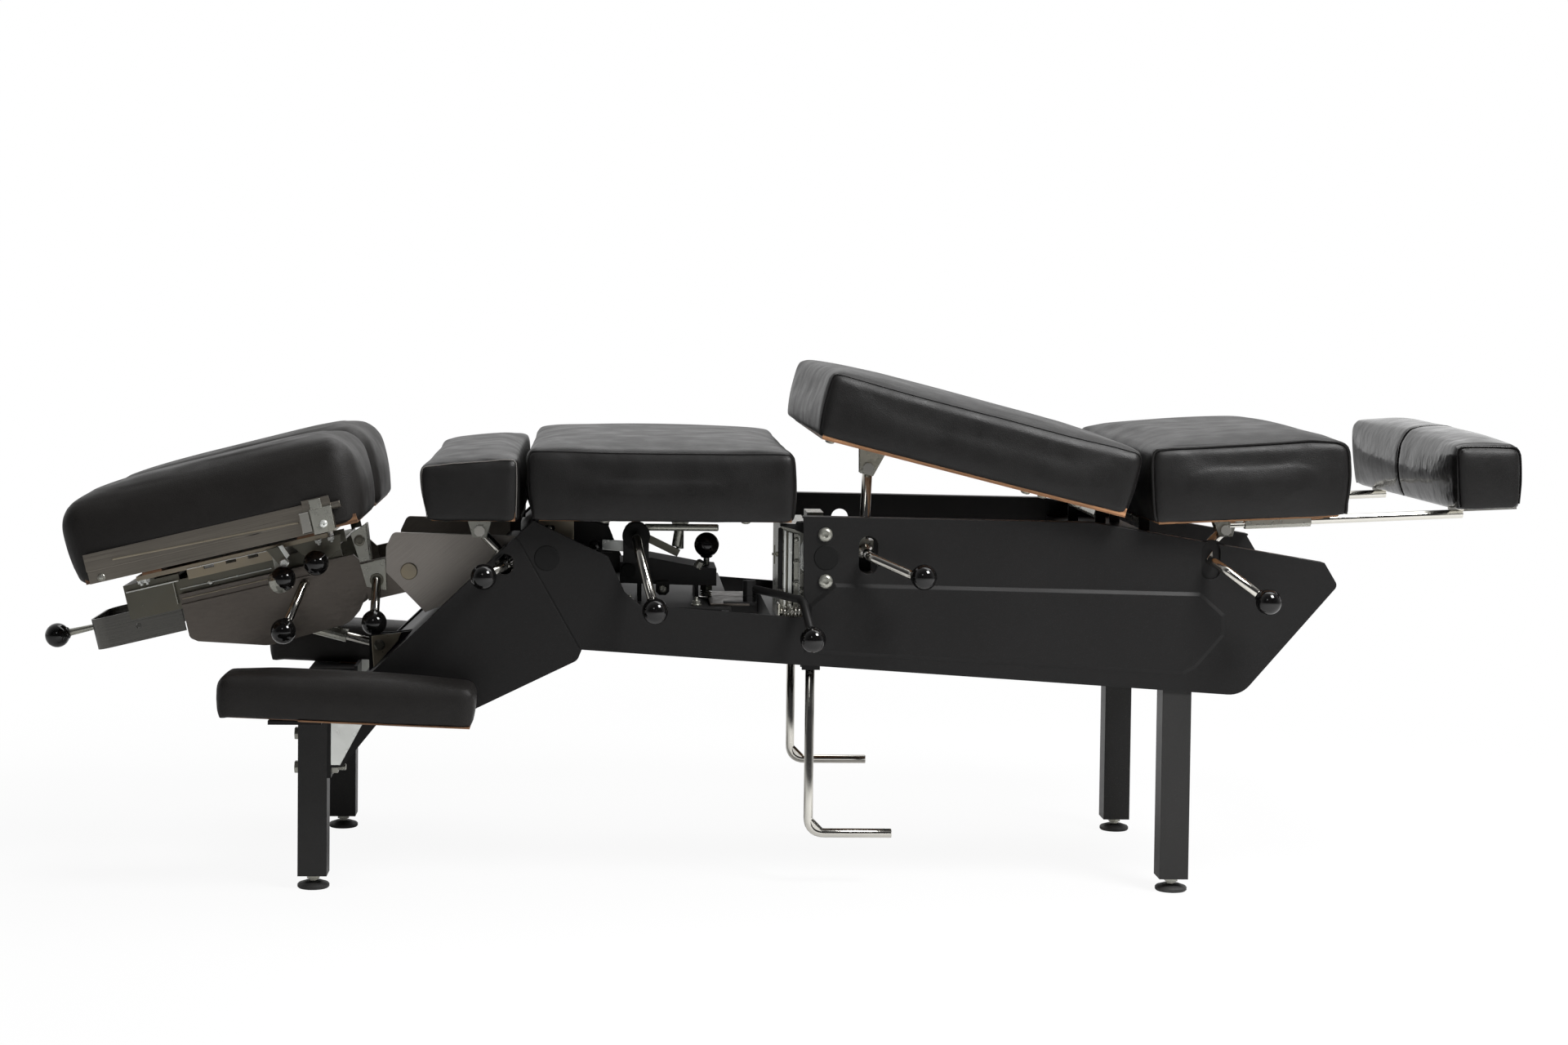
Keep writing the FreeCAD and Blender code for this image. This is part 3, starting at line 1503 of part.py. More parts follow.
def pedal(side, bottom_z):
    """L-shaped round bar hung on the cross shaft, with its foot bar towards the foot end."""
    y = side * pedal_y
    hub = bar_y(
        pedal_shaft_x, pedal_shaft_z, y - pedal_hub_width / 2, y + pedal_hub_width / 2,
        pedal_hub_radius, rod_sides,
    )
    top = Vector(pedal_shaft_x, y, pedal_shaft_z)
    corner = Vector(pedal_shaft_x, y, bottom_z)
    tip = Vector(pedal_shaft_x + pedal_reach, y, bottom_z)
    route = bend_route([top, corner, tip], pedal_bend)
    rod = mitred(route, corner.sub(top), pedal_rod_radius)
    bore = bore_y(
        pedal_shaft_x, pedal_shaft_z, y - pedal_hub_width, y + pedal_hub_width,
        pedal_shaft_radius,
    )
    return rod.fuse(hub).cut(bore).removeSplitter()


# Sections with their own pivots
def chest_section():
    seat = ear_radius + board_seat_gap
    board, cover = pad(
        chest_left, chest_right, chest_half_width, seat, chest_height_left, chest_height_right,
        chest_bulge,
    )
    pin = local_point(chest_prop_pin, chest_pivot_x, chest_pivot_z, 0)
    steel = [hinge_knuckle(seat, -hinge_plate_length)] + prop_cheeks(pin, seat)
    for name, shapes in (("chest_board", [board]), ("chest_cushion", [cover]), ("chest_bracket", steel)):
        save(name, tilted(shapes, chest_pivot_x, chest_pivot_z, 0))


def thoracic_section():
    board, cover = pad(
        thoracic_left, thoracic_right, thoracic_half_width, thoracic_rise, thoracic_height,
        thoracic_height, thoracic_bulge,
    )
    lugs = [hinge_knuckle(thoracic_rise, hinge_plate_length)]
    save("thoracic_board", tilted([board], thoracic_pivot_x, thoracic_pivot_z, 0))
    save("thoracic_cushion", tilted([cover], thoracic_pivot_x, thoracic_pivot_z, 0))
    save("thoracic_post", tilted(lugs, thoracic_pivot_x, thoracic_pivot_z, 0) + [thoracic_post()])


def lumbar_section():
    seat = ear_radius + board_seat_gap
    board, cover = pad(
        lumbar_left, lumbar_right, lumbar_half_width, seat, lumbar_height, lumbar_height,
        lumbar_bulge,
    )
    pin = local_point(lumbar_prop_pin, lumbar_pivot_x, lumbar_pivot_z, lumbar_tilt)
    steel = [hinge_knuckle(seat, -hinge_plate_length)] + prop_cheeks(pin, seat)
    for name, shapes in (("lumbar_board", [board]), ("lumbar_cushion", [cover]), ("lumbar_bracket", steel)):
        save(name, tilted(shapes, lumbar_pivot_x, lumbar_pivot_z, lumbar_tilt))


def leg_section():
    seat = ear_radius + board_seat_gap
    board, cover = pad(
        leg_left, leg_right, leg_half_width, seat, leg_height, leg_height, leg_bulge,
    )
    pin = local_point(leg_prop_pin, leg_pivot_x, leg_pivot_z, leg_tilt)
    steel = [hinge_knuckle(seat, hinge_plate_length)] + prop_cheeks(pin, seat)
    slide_z = seat - sleeve_radius
    for y in (-slide_y, slide_y):
        ends = (Vector(sleeve_start, y, slide_z), Vector(sleeve_end, y, slide_z))
        sleeve = bar(ends[0], ends[1], sleeve_radius, rod_sides)
        bore = cylinder(
            Vector(sleeve_start - overrun, y, slide_z), Vector(sleeve_end + overrun, y, slide_z),
            slide_rod_radius + running_fit,
        )
        steel.append(sleeve.cut(bore))
    for name, shapes in (("leg_board", [board]), ("leg_cushion", [cover]), ("leg_bracket", steel)):
        save(name, tilted(shapes, leg_pivot_x, leg_pivot_z, leg_tilt))


def foot_section():
    seat = ear_radius + board_seat_gap
    board, cover = pad(
        foot_left, foot_right, foot_half_width, seat, foot_height_above, foot_height_above,
        foot_bulge,
    )
    slide_z = seat - sleeve_radius
    rods = []
    for y in (-slide_y, slide_y):
        rods.append(
            cylinder(Vector(slide_rod_start, y, slide_z), Vector(slide_rod_end, y, slide_z), slide_rod_radius)
        )
        rods.append(
            box(
                foot_left, slide_rod_end, y - slide_rod_radius, y + slide_rod_radius,
                slide_z + slide_rod_radius, seat,
            )
        )
    save("foot_cushion", tilted([cover], leg_pivot_x, leg_pivot_z, leg_tilt))
    save("foot_frame", tilted([board] + rods, leg_pivot_x, leg_pivot_z, leg_tilt))


def prop_set(name, pin, clamp, tail, path):
    save(name + "_prop_rod", [prop_rod(pin, clamp, tail)])
    save(name + "_clamp", [clamp_block(pin, clamp)])
    save(name + "_lever", clamp_lever(clamp, path))


def head_section():
    save("tilt_yoke", both_sides([yoke_plate()]))
    save("tilt_pin", [tilt_pin()])
    save("head_frame", head_frame())
    pieces = {
        "head_carriage": [head_carriage()],
        "paper_strap": [paper_strap()],
        "pull_knob": pull_knob(),
        "head_drop_plate": [head_drop_plate()],
        "spread_lever": spread_lever(),
        "head_cock_lever": head_lever(
            cock_shaft, cock_knob, -carriage_outer + carriage_wall, -side_plate_outer - rail_lip
        ),
        "extend_lever": head_lever(
            extend_shaft, extend_knob, -side_plate_outer + plate, -side_plate_outer
        ),
        "tilt_lever": head_lever(
            tilt_shaft, tilt_knob, -side_plate_outer, -side_plate_outer - cheek_thickness
        ),
    }
    board, cover = face_pad()
    rail = paper_rail()
    pieces["face_board_near"] = board
    pieces["face_cushion_near"] = [cover]
    pieces["paper_rail_near"] = rail
    pieces["face_board_far"] = [mirrored(shape) for shape in board]
    pieces["face_cushion_far"] = [mirrored(cover)]
    pieces["paper_rail_far"] = [mirrored(shape) for shape in rail]
    for name, shapes in pieces.items():
        save(name, tilted(shapes, head_pivot_x, head_pivot_z, head_tilt))
    tube, rod = strut_parts()
    save("strut_tube", [tube])
    save("strut_rod", [rod])


def armrests():
    """Both armrest pads with their boards, wedge-topped towards the foot end."""
    inner = frame_half + cushion_draw / 2 + seat_gap
    outer = inner + armrest_width
    end = armrest_start + armrest_length
    board = box(
        armrest_start + cover_edge, end - cover_edge, -outer + cover_edge, -inner - cover_edge,
        armrest_base, armrest_base + board_thickness,
    )
    block = cushion(0, armrest_length, -outer, -inner, -armrest_rise, 0, 0, armrest_corner)
    fall = math.degrees(math.asin(armrest_fall / armrest_length))
    cover = tilted([block], armrest_start, armrest_base + armrest_rise, fall)[0]
    below = box(
        armrest_start - armrest_rise, end + armrest_rise, -outer * 2, 0,
        armrest_base - armrest_rise * 2, armrest_base + board_lip,
    )
    shapes = [board, cover.cut(below).cut(board)]
    for shape in shapes:
        shape.rotate(Vector(armrest_start, 0, armrest_base), Vector(0, 1, 0), armrest_tilt)
    return both_sides(shapes)


def frame_brackets():
    """Small welded brackets: leg plates, armrest arms, hinge ears, clamp ears and the rest."""
    solids = both_sides([leg_plates(), armrest_bracket()])
    solids += hinge_ears(chest_pivot_x, chest_pivot_z, channel_top(chest_pivot_x + ear_radius))
    solids += hinge_ears(thoracic_pivot_x, thoracic_pivot_z, thoracic_beam_z[1])
    solids += hinge_ears(lumbar_pivot_x, lumbar_pivot_z, hinge_beam_z[1])
    solids += hinge_ears(leg_pivot_x, leg_pivot_z, hinge_beam_z[1])
    solids += [clamp_bracket(clamp) for clamp in (chest_clamp, lumbar_clamp, leg_clamp)]
    solids += strut_bracket()
    solids += [release_post()] + pedal_hangers()
    return solids


def main():
    os.makedirs("parts", exist_ok=True)
    near, far = side_panels()
    save("side_panel_near", [near])
    save("side_panel_far", [far])
    save("head_channel", [head_channel()])
    save("cross_members", cross_members())
    save("legs", legs())
    save("levelling_feet", levelling_feet())
    save("frame_bolts", leg_bolts() + panel_screws())
    save("panel_plugs", panel_plugs())
    save("frame_brackets", frame_brackets())
    save("armrests", armrests())
    save("drop_box", [drop_box()])
    save("drop_channel", [drop_channel()])
    save("thoracic_lever", thoracic_lever())
    save("tension_screw", tension_screw())
    save("pelvic_post", [pelvic_post()])
    save("release_lever", release_lever())
    save("pedal_near", [pedal(-1, near_pedal_z)])
    save("pedal_far", [pedal(1, far_pedal_z)])
    head_section()
    chest_section()
    thoracic_section()
    lumbar_section()
    leg_section()
    foot_section()
    prop_set("chest", chest_prop_pin, chest_clamp, chest_rod_tail, chest_lever_path)
    prop_set("lumbar", lumbar_prop_pin, lumbar_clamp, lumbar_rod_tail, lumbar_lever_path)
    prop_set("leg", leg_prop_pin, leg_clamp, leg_rod_tail, leg_lever_path)


main()
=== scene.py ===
import math
import bpy
import bmesh
import numpy as np
from mathutils import Matrix, Vector, noise
from mathutils.bvhtree import BVHTree
from mathutils.kdtree import KDTree


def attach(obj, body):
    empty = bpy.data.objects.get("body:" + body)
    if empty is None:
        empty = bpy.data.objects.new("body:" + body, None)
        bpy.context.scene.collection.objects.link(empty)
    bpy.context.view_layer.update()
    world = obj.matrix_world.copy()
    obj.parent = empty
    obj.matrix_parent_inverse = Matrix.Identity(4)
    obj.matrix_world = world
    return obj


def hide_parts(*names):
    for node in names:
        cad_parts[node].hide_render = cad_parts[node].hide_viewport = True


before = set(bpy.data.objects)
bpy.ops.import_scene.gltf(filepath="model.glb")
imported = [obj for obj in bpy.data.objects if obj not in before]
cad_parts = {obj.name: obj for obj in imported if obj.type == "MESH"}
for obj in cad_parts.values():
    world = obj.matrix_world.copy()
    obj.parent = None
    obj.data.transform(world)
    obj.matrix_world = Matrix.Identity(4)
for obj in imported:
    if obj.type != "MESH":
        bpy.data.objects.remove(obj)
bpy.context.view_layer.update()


def turned(x, z, degrees):
    """Place of a section drawn level about its pivot in XZ, then turned about Y."""
    return Matrix.Translation((x, 0, z)) @ Matrix.Rotation(math.radians(degrees), 4, "Y")


# Sizes repeated from the part's source, in metres and degrees
HEAD = turned(-0.473, 0.411, -13.5)
CHEST = turned(-0.332, 0.481, 0)
THORACIC = turned(-0.266, 0.47, 0)
LUMBAR = turned(0.46, 0.4935, 14)
LEG = turned(0.52, 0.484, -2.8)
ARM = turned(-0.7, 0.24, 2.2)
HEAD_BODIES = (
    "head_section", "carriage", "head_drop", "face_near", "face_far", "extend_lever_body",
    "tilt_lever_body", "head_cock_lever_body", "spread_lever_body",
)
CLAMPS = {"chest": (-0.3425, 0.4305), "lumbar": (0.134, 0.446), "leg": (0.586, 0.442)}
SIDES = ((-1, "near"), (1, "far"))
X, Y, Z, FRONT, DOWN = (1, 0, 0), (0, 1, 0), (0, 0, 1), (0, -1, 0), (0, 0, -1)
KNOB_R = 0.0168
FRAME_HALF = 0.226
LEG_Y = 0.20395
PEDAL_X, PEDAL_Y = 0.062, 0.186
PROP_Y = -0.15
LEVER_START_Y = -0.1575
KNOB_Y, HEAD_KNOB_Y = -0.29, -0.18
STRIP_BACK_Y = -0.2003


# Materials
def scaled(colour, share):
    return tuple(v * share for v in colour)


class Graph:
    """Short calls for building one node tree."""

    def __init__(self, owner, clear=True):
        owner.use_nodes = True
        self.tree = owner.node_tree
        if clear:
            self.tree.nodes.clear()

    def node(self, kind, **props):
        made = self.tree.nodes.new(kind)
        for key, value in props.items():
            setattr(made, key, value)
        return made

    def join(self, source, target):
        self.tree.links.new(source, target)

    def fill(self, node, values):
        """Each named or numbered input takes a socket or a plain value."""
        for key, value in values.items():
            if isinstance(value, bpy.types.NodeSocket):
                self.join(value, node.inputs[key])
            else:
                node.inputs[key].default_value = value
        return node

    def ramp(self, source, *stops):
        node = self.node("ShaderNodeValToRGB")
        while len(node.color_ramp.elements) < len(stops):
            node.color_ramp.elements.new(0.5)
        for element, (place, colour) in zip(node.color_ramp.elements, stops):
            element.position, element.color = place, (*colour, 1.0)
        self.join(source, node.inputs["Fac"])
        return node.outputs["Color"]

    def span(self, source, low, high, start=0.0, end=1.0, kind="LINEAR"):
        node = self.node("ShaderNodeMapRange", interpolation_type=kind)
        values = {"Value": source, "From Min": start, "From Max": end, "To Min": low, "To Max": high}
        return self.fill(node, values).outputs[0]

    def math(self, operation, a, b):
        return self.fill(self.node("ShaderNodeMath", operation=operation), {0: a, 1: b}).outputs[0]

    def shader(self, kind, colour=(1, 1, 1, 1), **values):
        return self.fill(self.node(kind), {"Color": colour, **values}).outputs[0]

    def blend(self, share, first, last):
        return self.fill(self.node("ShaderNodeMixShader"), {0: share, 1: first, 2: last}).outputs[0]


class Shade(Graph):
    """One surface material on the principled shader, in object coordinates."""

    def __init__(self, name):
        self.mat = bpy.data.materials.new(name)
        super().__init__(self.mat, clear=False)
        self.bsdf = self.tree.nodes["Principled BSDF"]
        self.coord = self.node("ShaderNodeTexCoord").outputs["Object"]

    def set(self, **values):
        self.fill(self.bsdf, {key.replace("_", " "): value for key, value in values.items()})

    def mapped(self, scale, turn):
        turner = self.node("ShaderNodeMapping")
        self.fill(turner, {"Rotation": (0, math.radians(turn), 0), "Vector": self.coord})
        node = self.node("ShaderNodeMapping")
        return self.fill(node, {"Scale": scale, "Vector": turner.outputs[0]}).outputs[0]

    def noise(self, scale, detail=3.0, vector=None, rough=0.5, distort=0.0):
        values = {"Scale": scale, "Detail": detail, "Roughness": rough, "Distortion": distort}
        values["Vector"] = vector or self.coord
        return self.fill(self.node("ShaderNodeTexNoise"), values).outputs["Fac"]

    def cells(self, scale):
        node = self.node("ShaderNodeTexVoronoi")
        return self.fill(node, {"Scale": scale, "Vector": self.coord}).outputs["Distance"]

    def mix(self, share, a, b):
        node = self.node("ShaderNodeMix", data_type="RGBA")
        return self.fill(node, {0: share, 6: a, 7: b}).outputs[2]

    def bump(self, height, strength, distance, normal=None):
        values = {"Strength": strength, "Distance": distance, "Height": height}
        if normal is not None:
            values["Normal"] = normal
        return self.fill(self.node("ShaderNodeBump"), values).outputs[0]

    def rounded(self, radius):
        return self.fill(self.node("ShaderNodeBevel", samples=4), {"Radius": radius}).outputs[0]

    def finish(self, colour, source, low, high, normal):
        """Colour, roughness between two values as the source varies, and normal."""
        self.set(Base_Color=colour, Roughness=self.span(source, low, high, 0.3, 0.7), Normal=normal)


def vinyl(name, base, rough, gloss=0.0, grain=0.35, wrinkle=0.25, shine=0.34):
    s = Shade(name)
    colour = s.ramp(s.noise(9, 4), (0.35, scaled(base, 0.82)), (0.7, base))
    leather = s.bump(s.cells(820), grain, 0.0004)
    speck = s.bump(s.noise(1500, 2), grain * 0.5, 0.0003, leather)
    folds = s.bump(s.noise(16, 3, rough=0.6), wrinkle, 0.004, speck)
    s.finish(colour, s.noise(28, 5), rough - 0.06, rough + 0.08, folds)
    s.set(Specular_IOR_Level=shine, Coat_Weight=gloss, Coat_Roughness=0.08)
    return s.mat


def powder(name, base=(0.0098, 0.0095, 0.0095), rough=0.48):
    s = Shade(name)
    worn = s.noise(5, 5)
    ground = s.ramp(worn, (0.3, scaled(base, 0.85)), (0.8, base))
    fleck = s.span(s.noise(1300, 2), 0.0, 1.0, 0.62, 0.75)
    colour = s.mix(fleck, ground, scaled(base, 2.6) + (1,))
    grain = s.bump(s.noise(900, 3), 0.22, 0.0004, s.rounded(0.0014))
    s.finish(colour, worn, rough - 0.05, rough + 0.07, grain)
    s.set(Specular_IOR_Level=0.20)
    return s.mat


def brushed(name, base, turn, along, rough=0.40, streak=0.16, aniso=0.5):
    """Plate steel with brushing along the first axis once turned about Y."""
    s = Shade(name)
    lines = s.noise(1.0, 4, s.mapped(along, turn), 0.62)
    dark, light = scaled(base, 0.72), scaled(base, 1.22)
    wide = s.ramp(s.noise(7, 5, distort=0.3), (0.25, dark), (0.75, light))
    colour = s.mix(0.45, s.ramp(lines, (0.3, dark), (0.7, light)), wide)
    grain = s.bump(lines, streak, 0.0004, s.rounded(0.0008))
    s.finish(colour, lines, rough - 0.07, rough + 0.13, grain)
    s.set(Metallic=1.0, Anisotropic=aniso)
    return s.mat


def zinc(name, base=(0.36, 0.36, 0.32), rough=0.28, metal=0.72):
    s = Shade(name)
    tint = (base[0] * 1.04, base[1], base[2] * 0.9)
    patch = s.noise(11, 3, distort=0.3)
    colour = s.ramp(patch, (0.3, scaled(base, 0.86)), (0.55, base), (0.75, tint))
    grain = s.bump(s.noise(300, 3), 0.05, 0.0004, s.rounded(0.0008))
    s.finish(colour, s.noise(90, 4), rough - 0.05, rough + 0.08, grain)
    s.set(Metallic=metal)
    return s.mat


def plain(name, colours, patch, worn, rough, grain, bump, **values):
    """One colour from dark to light; patch, worn and grain are sizes of noise and its detail."""
    s = Shade(name)
    colour = s.ramp(s.noise(*patch), (0.3, colours[0]), (0.7, colours[1]))
    s.finish(colour, s.noise(*worn), *rough, s.bump(s.noise(*grain), *bump))
    s.set(**values)
    return s.mat


def plywood(name, turn=0.0, tone=1.0):
    """Birch ply: thin light and dark layers across the board, grain along it."""
    s = Shade(name)

    def ramp(source, *stops):
        return s.ramp(source, *[(place, scaled(colour, tone)) for place, colour in stops])

    layers = s.node("ShaderNodeTexWave", bands_direction="Z")
    across = s.mapped((1, 1, 1), turn)
    s.fill(layers, {"Scale": 42, "Distortion": 0.6, "Detail": 2, "Vector": across})
    edge = ramp(
        layers.outputs["Fac"],
        (0.25, (0.07, 0.03, 0.012)), (0.55, (0.18, 0.085, 0.038)), (0.9, (0.25, 0.13, 0.062)),
    )
    grain = s.noise(1.0, 5, s.mapped((30, 260, 700), turn), 0.6)
    fibres = ramp(grain, (0.3, (0.08, 0.036, 0.015)), (0.7, (0.22, 0.112, 0.052)))
    s.finish(s.mix(0.45, edge, fibres), grain, 0.45, 0.68, s.bump(grain, 0.35, 0.0004))
    return s.mat


CHROME = (0.58, 0.565, 0.52)
MAT = {
    "vinyl": vinyl("vinyl", (0.0085, 0.008, 0.0078), 0.43, shine=0.25),
    "vinyl_soft": vinyl("vinyl_soft", (0.0125, 0.0113, 0.0105), 0.5, grain=0.5, shine=0.22),
    "vinyl_gloss": vinyl("vinyl_gloss", (0.0085, 0.008, 0.008), 0.16, 0.1, 0.06, 0.6, 0.22),
    "thread": vinyl("thread", (0.16, 0.15, 0.14), 0.6),
    "powder": powder("powder"),
    "leg_black": powder("leg_black", (0.027, 0.0265, 0.026), 0.42),
    "matte": powder("matte_black", (0.0045, 0.0045, 0.0045), 0.7),
    "yoke": brushed("yoke_steel", (0.36, 0.333, 0.305), 40, (16, 500, 900), streak=0.3),
    "plate": brushed("plate_steel", (0.155, 0.138, 0.122), 13.5, (60, 60, 220), streak=0.1, aniso=0.2),
    "rail": brushed("rail_steel", (0.225, 0.205, 0.175), 13.5, (6, 500, 900), 0.33),
    "strap": brushed("strap_steel", (0.125, 0.122, 0.113), 13.5, (6, 60, 900), 0.3, 0.22),
    "zinc": zinc("zinc"),
    # Painted light: a pale copy of zinc whose light base stands in for the light that brightens the
    # strips, nuts and small plates facing the front
    "zinc_pale": zinc("zinc_pale", (0.78, 0.80, 0.77), 0.22, 0.5),
    "zinc_warm": zinc("zinc_warm", (0.33, 0.29, 0.22), 0.32),
    "zinc_dark": zinc("zinc_dark", (0.135, 0.13, 0.105), 0.32),
    "chrome": plain(
        "chrome", (scaled(CHROME, 0.93), CHROME), (14, 3), (40, 3), (0.1, 0.17), (60, 2), (0.02, 0.0003),
        Metallic=1.0,
    ),
    "knob": plain(
        "knob", ((0.003, 0.003, 0.003), (0.006, 0.0055, 0.0055)), (60, 3), (220, 3), (0.04, 0.08),
        (90, 2), (0.01, 0.0006), Specular_IOR_Level=0.42,
    ),
    "ply": plywood("plywood"),
    "ply_head": plywood("plywood_head", 13.5),
    "ply_lumbar": plywood("plywood_lumbar", -14.0, 2.2),
    "ply_leg": plywood("plywood_leg", 2.8, 1.8),
    "rubber": plain(
        "rubber", ((0.014, 0.014, 0.014), (0.028, 0.027, 0.026)), (60, 4), (200, 3), (0.5, 0.75),
        (700, 2), (0.2, 0.0004),
    ),
    "spring": zinc("spring_steel", (0.62, 0.61, 0.56), 0.18),
}

# Finish of each carried-over node
NODE_FINISHES = {
    "powder": "side_panel_near side_panel_far head_channel cross_members frame_brackets drop_box "
              "release_lever",
    "leg_black": "legs",
    "matte": "panel_plugs",
    "rubber": "levelling_feet",
    "knob": "pull_knob",
    "yoke": "tilt_yoke",
    "plate": "head_frame",
    "rail": "paper_rail_near paper_rail_far",
    "strap": "paper_strap",
    "zinc_dark": "head_carriage thoracic_lever",
    "zinc_warm": "head_drop_plate tilt_pin",
    "zinc": "tension_screw frame_bolts spread_lever drop_channel pelvic_post thoracic_post strut_tube "
            "chest_bracket lumbar_bracket leg_bracket chest_clamp lumbar_clamp leg_clamp",
    "ply": "chest_board thoracic_board",
    "ply_lumbar": "lumbar_board",
    "ply_leg": "leg_board",
    "ply_head": "face_board_near face_board_far",
}
NODE_MATS = {node: finish for finish, nodes in NODE_FINISHES.items() for node in nodes.split()}
for node_name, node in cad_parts.items():
    chosen = MAT[NODE_MATS.get(node_name, "chrome")]
    if not node.material_slots:
        node.data.materials.append(chosen)
    for held in node.material_slots:
        held.material = chosen

# Material slot of each finish, zinc_plate for the rest
SLOTS = {
    "powder": "frame_black", "matte": "frame_black", "knob": "knob_black", "rubber": "foot_rubber",
    "chrome": "chrome_rod", "ply": "plywood", "vinyl": "vinyl", "vinyl_soft": "vinyl",
    "vinyl_gloss": "vinyl_gloss",
}


# Mesh helpers
def made(name, mesh, material, body, place=None, slot_name=None):
    """A piece from a mesh, in place, with its finish and the body it rides on."""
    if place is None and body in HEAD_BODIES:
        place = HEAD
    if place is not None:
        mesh.transform(place)
    piece = bpy.data.objects.new(name, mesh)
    bpy.context.scene.collection.objects.link(piece)
    mesh.materials.clear()
    mesh.materials.append(MAT[material])
    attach(piece, body)
    slot_name or SLOTS.get(material, "zinc_plate")
    return piece


def mesh_of(name, verts, faces, sharp=None):
    mesh = bpy.data.meshes.new(name)
    mesh.from_pydata([tuple(v) for v in verts], [], faces)
    mesh.validate()
    work = bmesh.new()
    work.from_mesh(mesh)
    bmesh.ops.recalc_face_normals(work, faces=work.faces)
    work.to_mesh(mesh)
    work.free()
    for face in mesh.polygons:
        face.use_smooth = True
    if sharp:
        mesh.set_sharp_from_angle(angle=math.radians(sharp))
    return mesh


def fitted(name, parts, material="zinc", body="frame", place=None, slot_name=None, nodes=(), sharp=35):
    """One piece from several lists of points and faces."""
    verts, faces = [], []
    for part_verts, part_faces in parts:
        base = len(verts)
        verts.extend(part_verts)
        faces.extend([tuple(base + i for i in face) for face in part_faces])
    piece = made(name, mesh_of(name, verts, faces, sharp), material, body, place, slot_name)
    if nodes:
        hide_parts(*nodes)
    return piece


def frame_for(axis):
    axis = Vector(axis).normalized()
    helper = Vector((0, 0, 1)) if abs(axis.z) < 0.9 else Vector((1, 0, 0))
    side = axis.cross(helper).normalized()
    return axis, side, side.cross(axis).normalized()


def ring(centre, side, up, radius, sides):
    angles = [2 * math.pi * i / sides for i in range(sides)]
    return [centre + (side * math.cos(a) + up * math.sin(a)) * radius for a in angles]


def skin(rings):
    """Points and faces of a closed shape through rings of equal count."""
    count = len(rings[0])
    verts = [p for one in rings for p in one]
    faces = [tuple(range(count)), tuple(len(verts) - 1 - i for i in range(count))]
    for r in range(len(rings) - 1):
        for i in range(count):
            a, b = r * count + i, r * count + (i + 1) % count
            faces.append((a, b, b + count, a + count))
    return verts, faces


def lathe(profile, origin, axis, sides=40):
    """Turned shape: profile points are (distance along the axis, radius)."""
    axis, side, up = frame_for(axis)
    origin = Vector(origin)
    return skin([ring(origin + axis * along, side, up, r, sides) for along, r in profile])


def ball(centre, radius, axis=Z, rows=20):
    angles = [math.pi * i / rows for i in range(1, rows)]
    profile = [(-radius * math.cos(a), radius * math.sin(a)) for a in angles]
    pole = radius * 0.02
    return lathe([(-radius, pole)] + profile + [(radius, pole)], centre, axis)


def bent(points, bend, steps=7):
    """The points with their inner corners rounded by an arc of about this radius."""
    points = [Vector(p) for p in points]
    route = [points[0]]
    for i in range(1, len(points) - 1):
        here, back, onward = points[i], points[i - 1] - points[i], points[i + 1] - points[i]
        half = back.angle(onward) / 2
        reach = min(bend / math.tan(half), back.length * 0.45, onward.length * 0.45)
        first, last = here + back.normalized() * reach, here + onward.normalized() * reach
        for k in range(steps + 1):
            t = k / steps
            route.append(first * (1 - t) ** 2 + here * 2 * t * (1 - t) + last * t * t)
    route.append(points[-1])
    return route


def tube(points, radius, sides=20, chamfer=0.0):
    """Round bar along a route, its rings carried along without twist."""
    points = [Vector(p) for p in points]
    last = len(points) - 1
    axis, side, up = frame_for(points[1] - points[0])
    frames = []
    for i, here in enumerate(points):
        back, onward = here - points[max(i - 1, 0)], points[min(i + 1, last)] - here
        along = (back.normalized() + onward.normalized()).normalized()
        turn = axis.rotation_difference(along)
        axis, side, up = along, turn @ side, turn @ up
        frames.append((here, axis, side, up))
    rings = [ring(here, side, up, radius, sides) for here, _, side, up in frames]
    if chamfer:
        for end, way in ((0, 1), (-1, -1)):
            here, axis, side, up = frames[end]
            rings[end] = ring(here + axis * chamfer * way, side, up, radius, sides)
            rings.insert(end % (len(rings) + 1), ring(here, side, up, radius - chamfer, sides))
    return skin(rings)


def hex_bolt(origin, axis, across=0.013, height=0.0055, washer=0.009):
    """Hex head on a washer, standing out along the axis from the origin."""
    radius = across / 2 / math.cos(math.pi / 6)
    head = [(0.0012, radius), (height, radius), (height + 0.0006, radius * 0.9)]
    disc = [(0, washer), (0.001, washer), (0.0013, washer - 0.0006)]
    return [lathe(head, origin, axis, 6), lathe(disc, origin, axis, 28)]


def nut_and_tail(origin, axis, across, height, tail, thread, washer=0.009, pitch=0.0008):
    """Nut on a washer with the threaded end of its bolt standing out of it."""
    start = height + 0.0006
    profile = []
    for i in range(int(tail / pitch)):
        profile += [(start + i * pitch, thread * 0.9), (start + (i + 0.5) * pitch, thread)]
    profile.append((start + tail, thread * 0.8))
    return hex_bolt(origin, axis, across, height, washer) + [lathe(profile, origin, axis, 20)]


def headed(profile, origin, axis, radius, height, sides):
    """Turned head from shares of its height and radius."""
    return [lathe([(h * height, r * radius) for h, r in profile], origin, axis, sides)]


def pan_screw(origin, axis, radius, height):
    """Plain domed screw head."""
    dome = ((0, 1), (0.35, 1), (0.75, 0.82), (1, 0.45), (1, 0.02))
    return headed(dome, origin, axis, radius, height, 24)


def button_screw(origin, axis, radius=0.0095, height=0.005, socket=0.0035):
    """Button head with a round socket."""
    bore = socket / radius
    dome = ((0, 1), (0.25, 1), (0.7, 0.86), (1, 0.58))
    pit = ((1, bore), (0.45, bore * 0.95), (0.4, bore * 0.02))
    return headed(dome + pit, origin, axis, radius, height, 30)


def rect(x0, x1, z0, z1):
    return [(x0, z0), (x1, z0), (x1, z1), (x0, z1)]


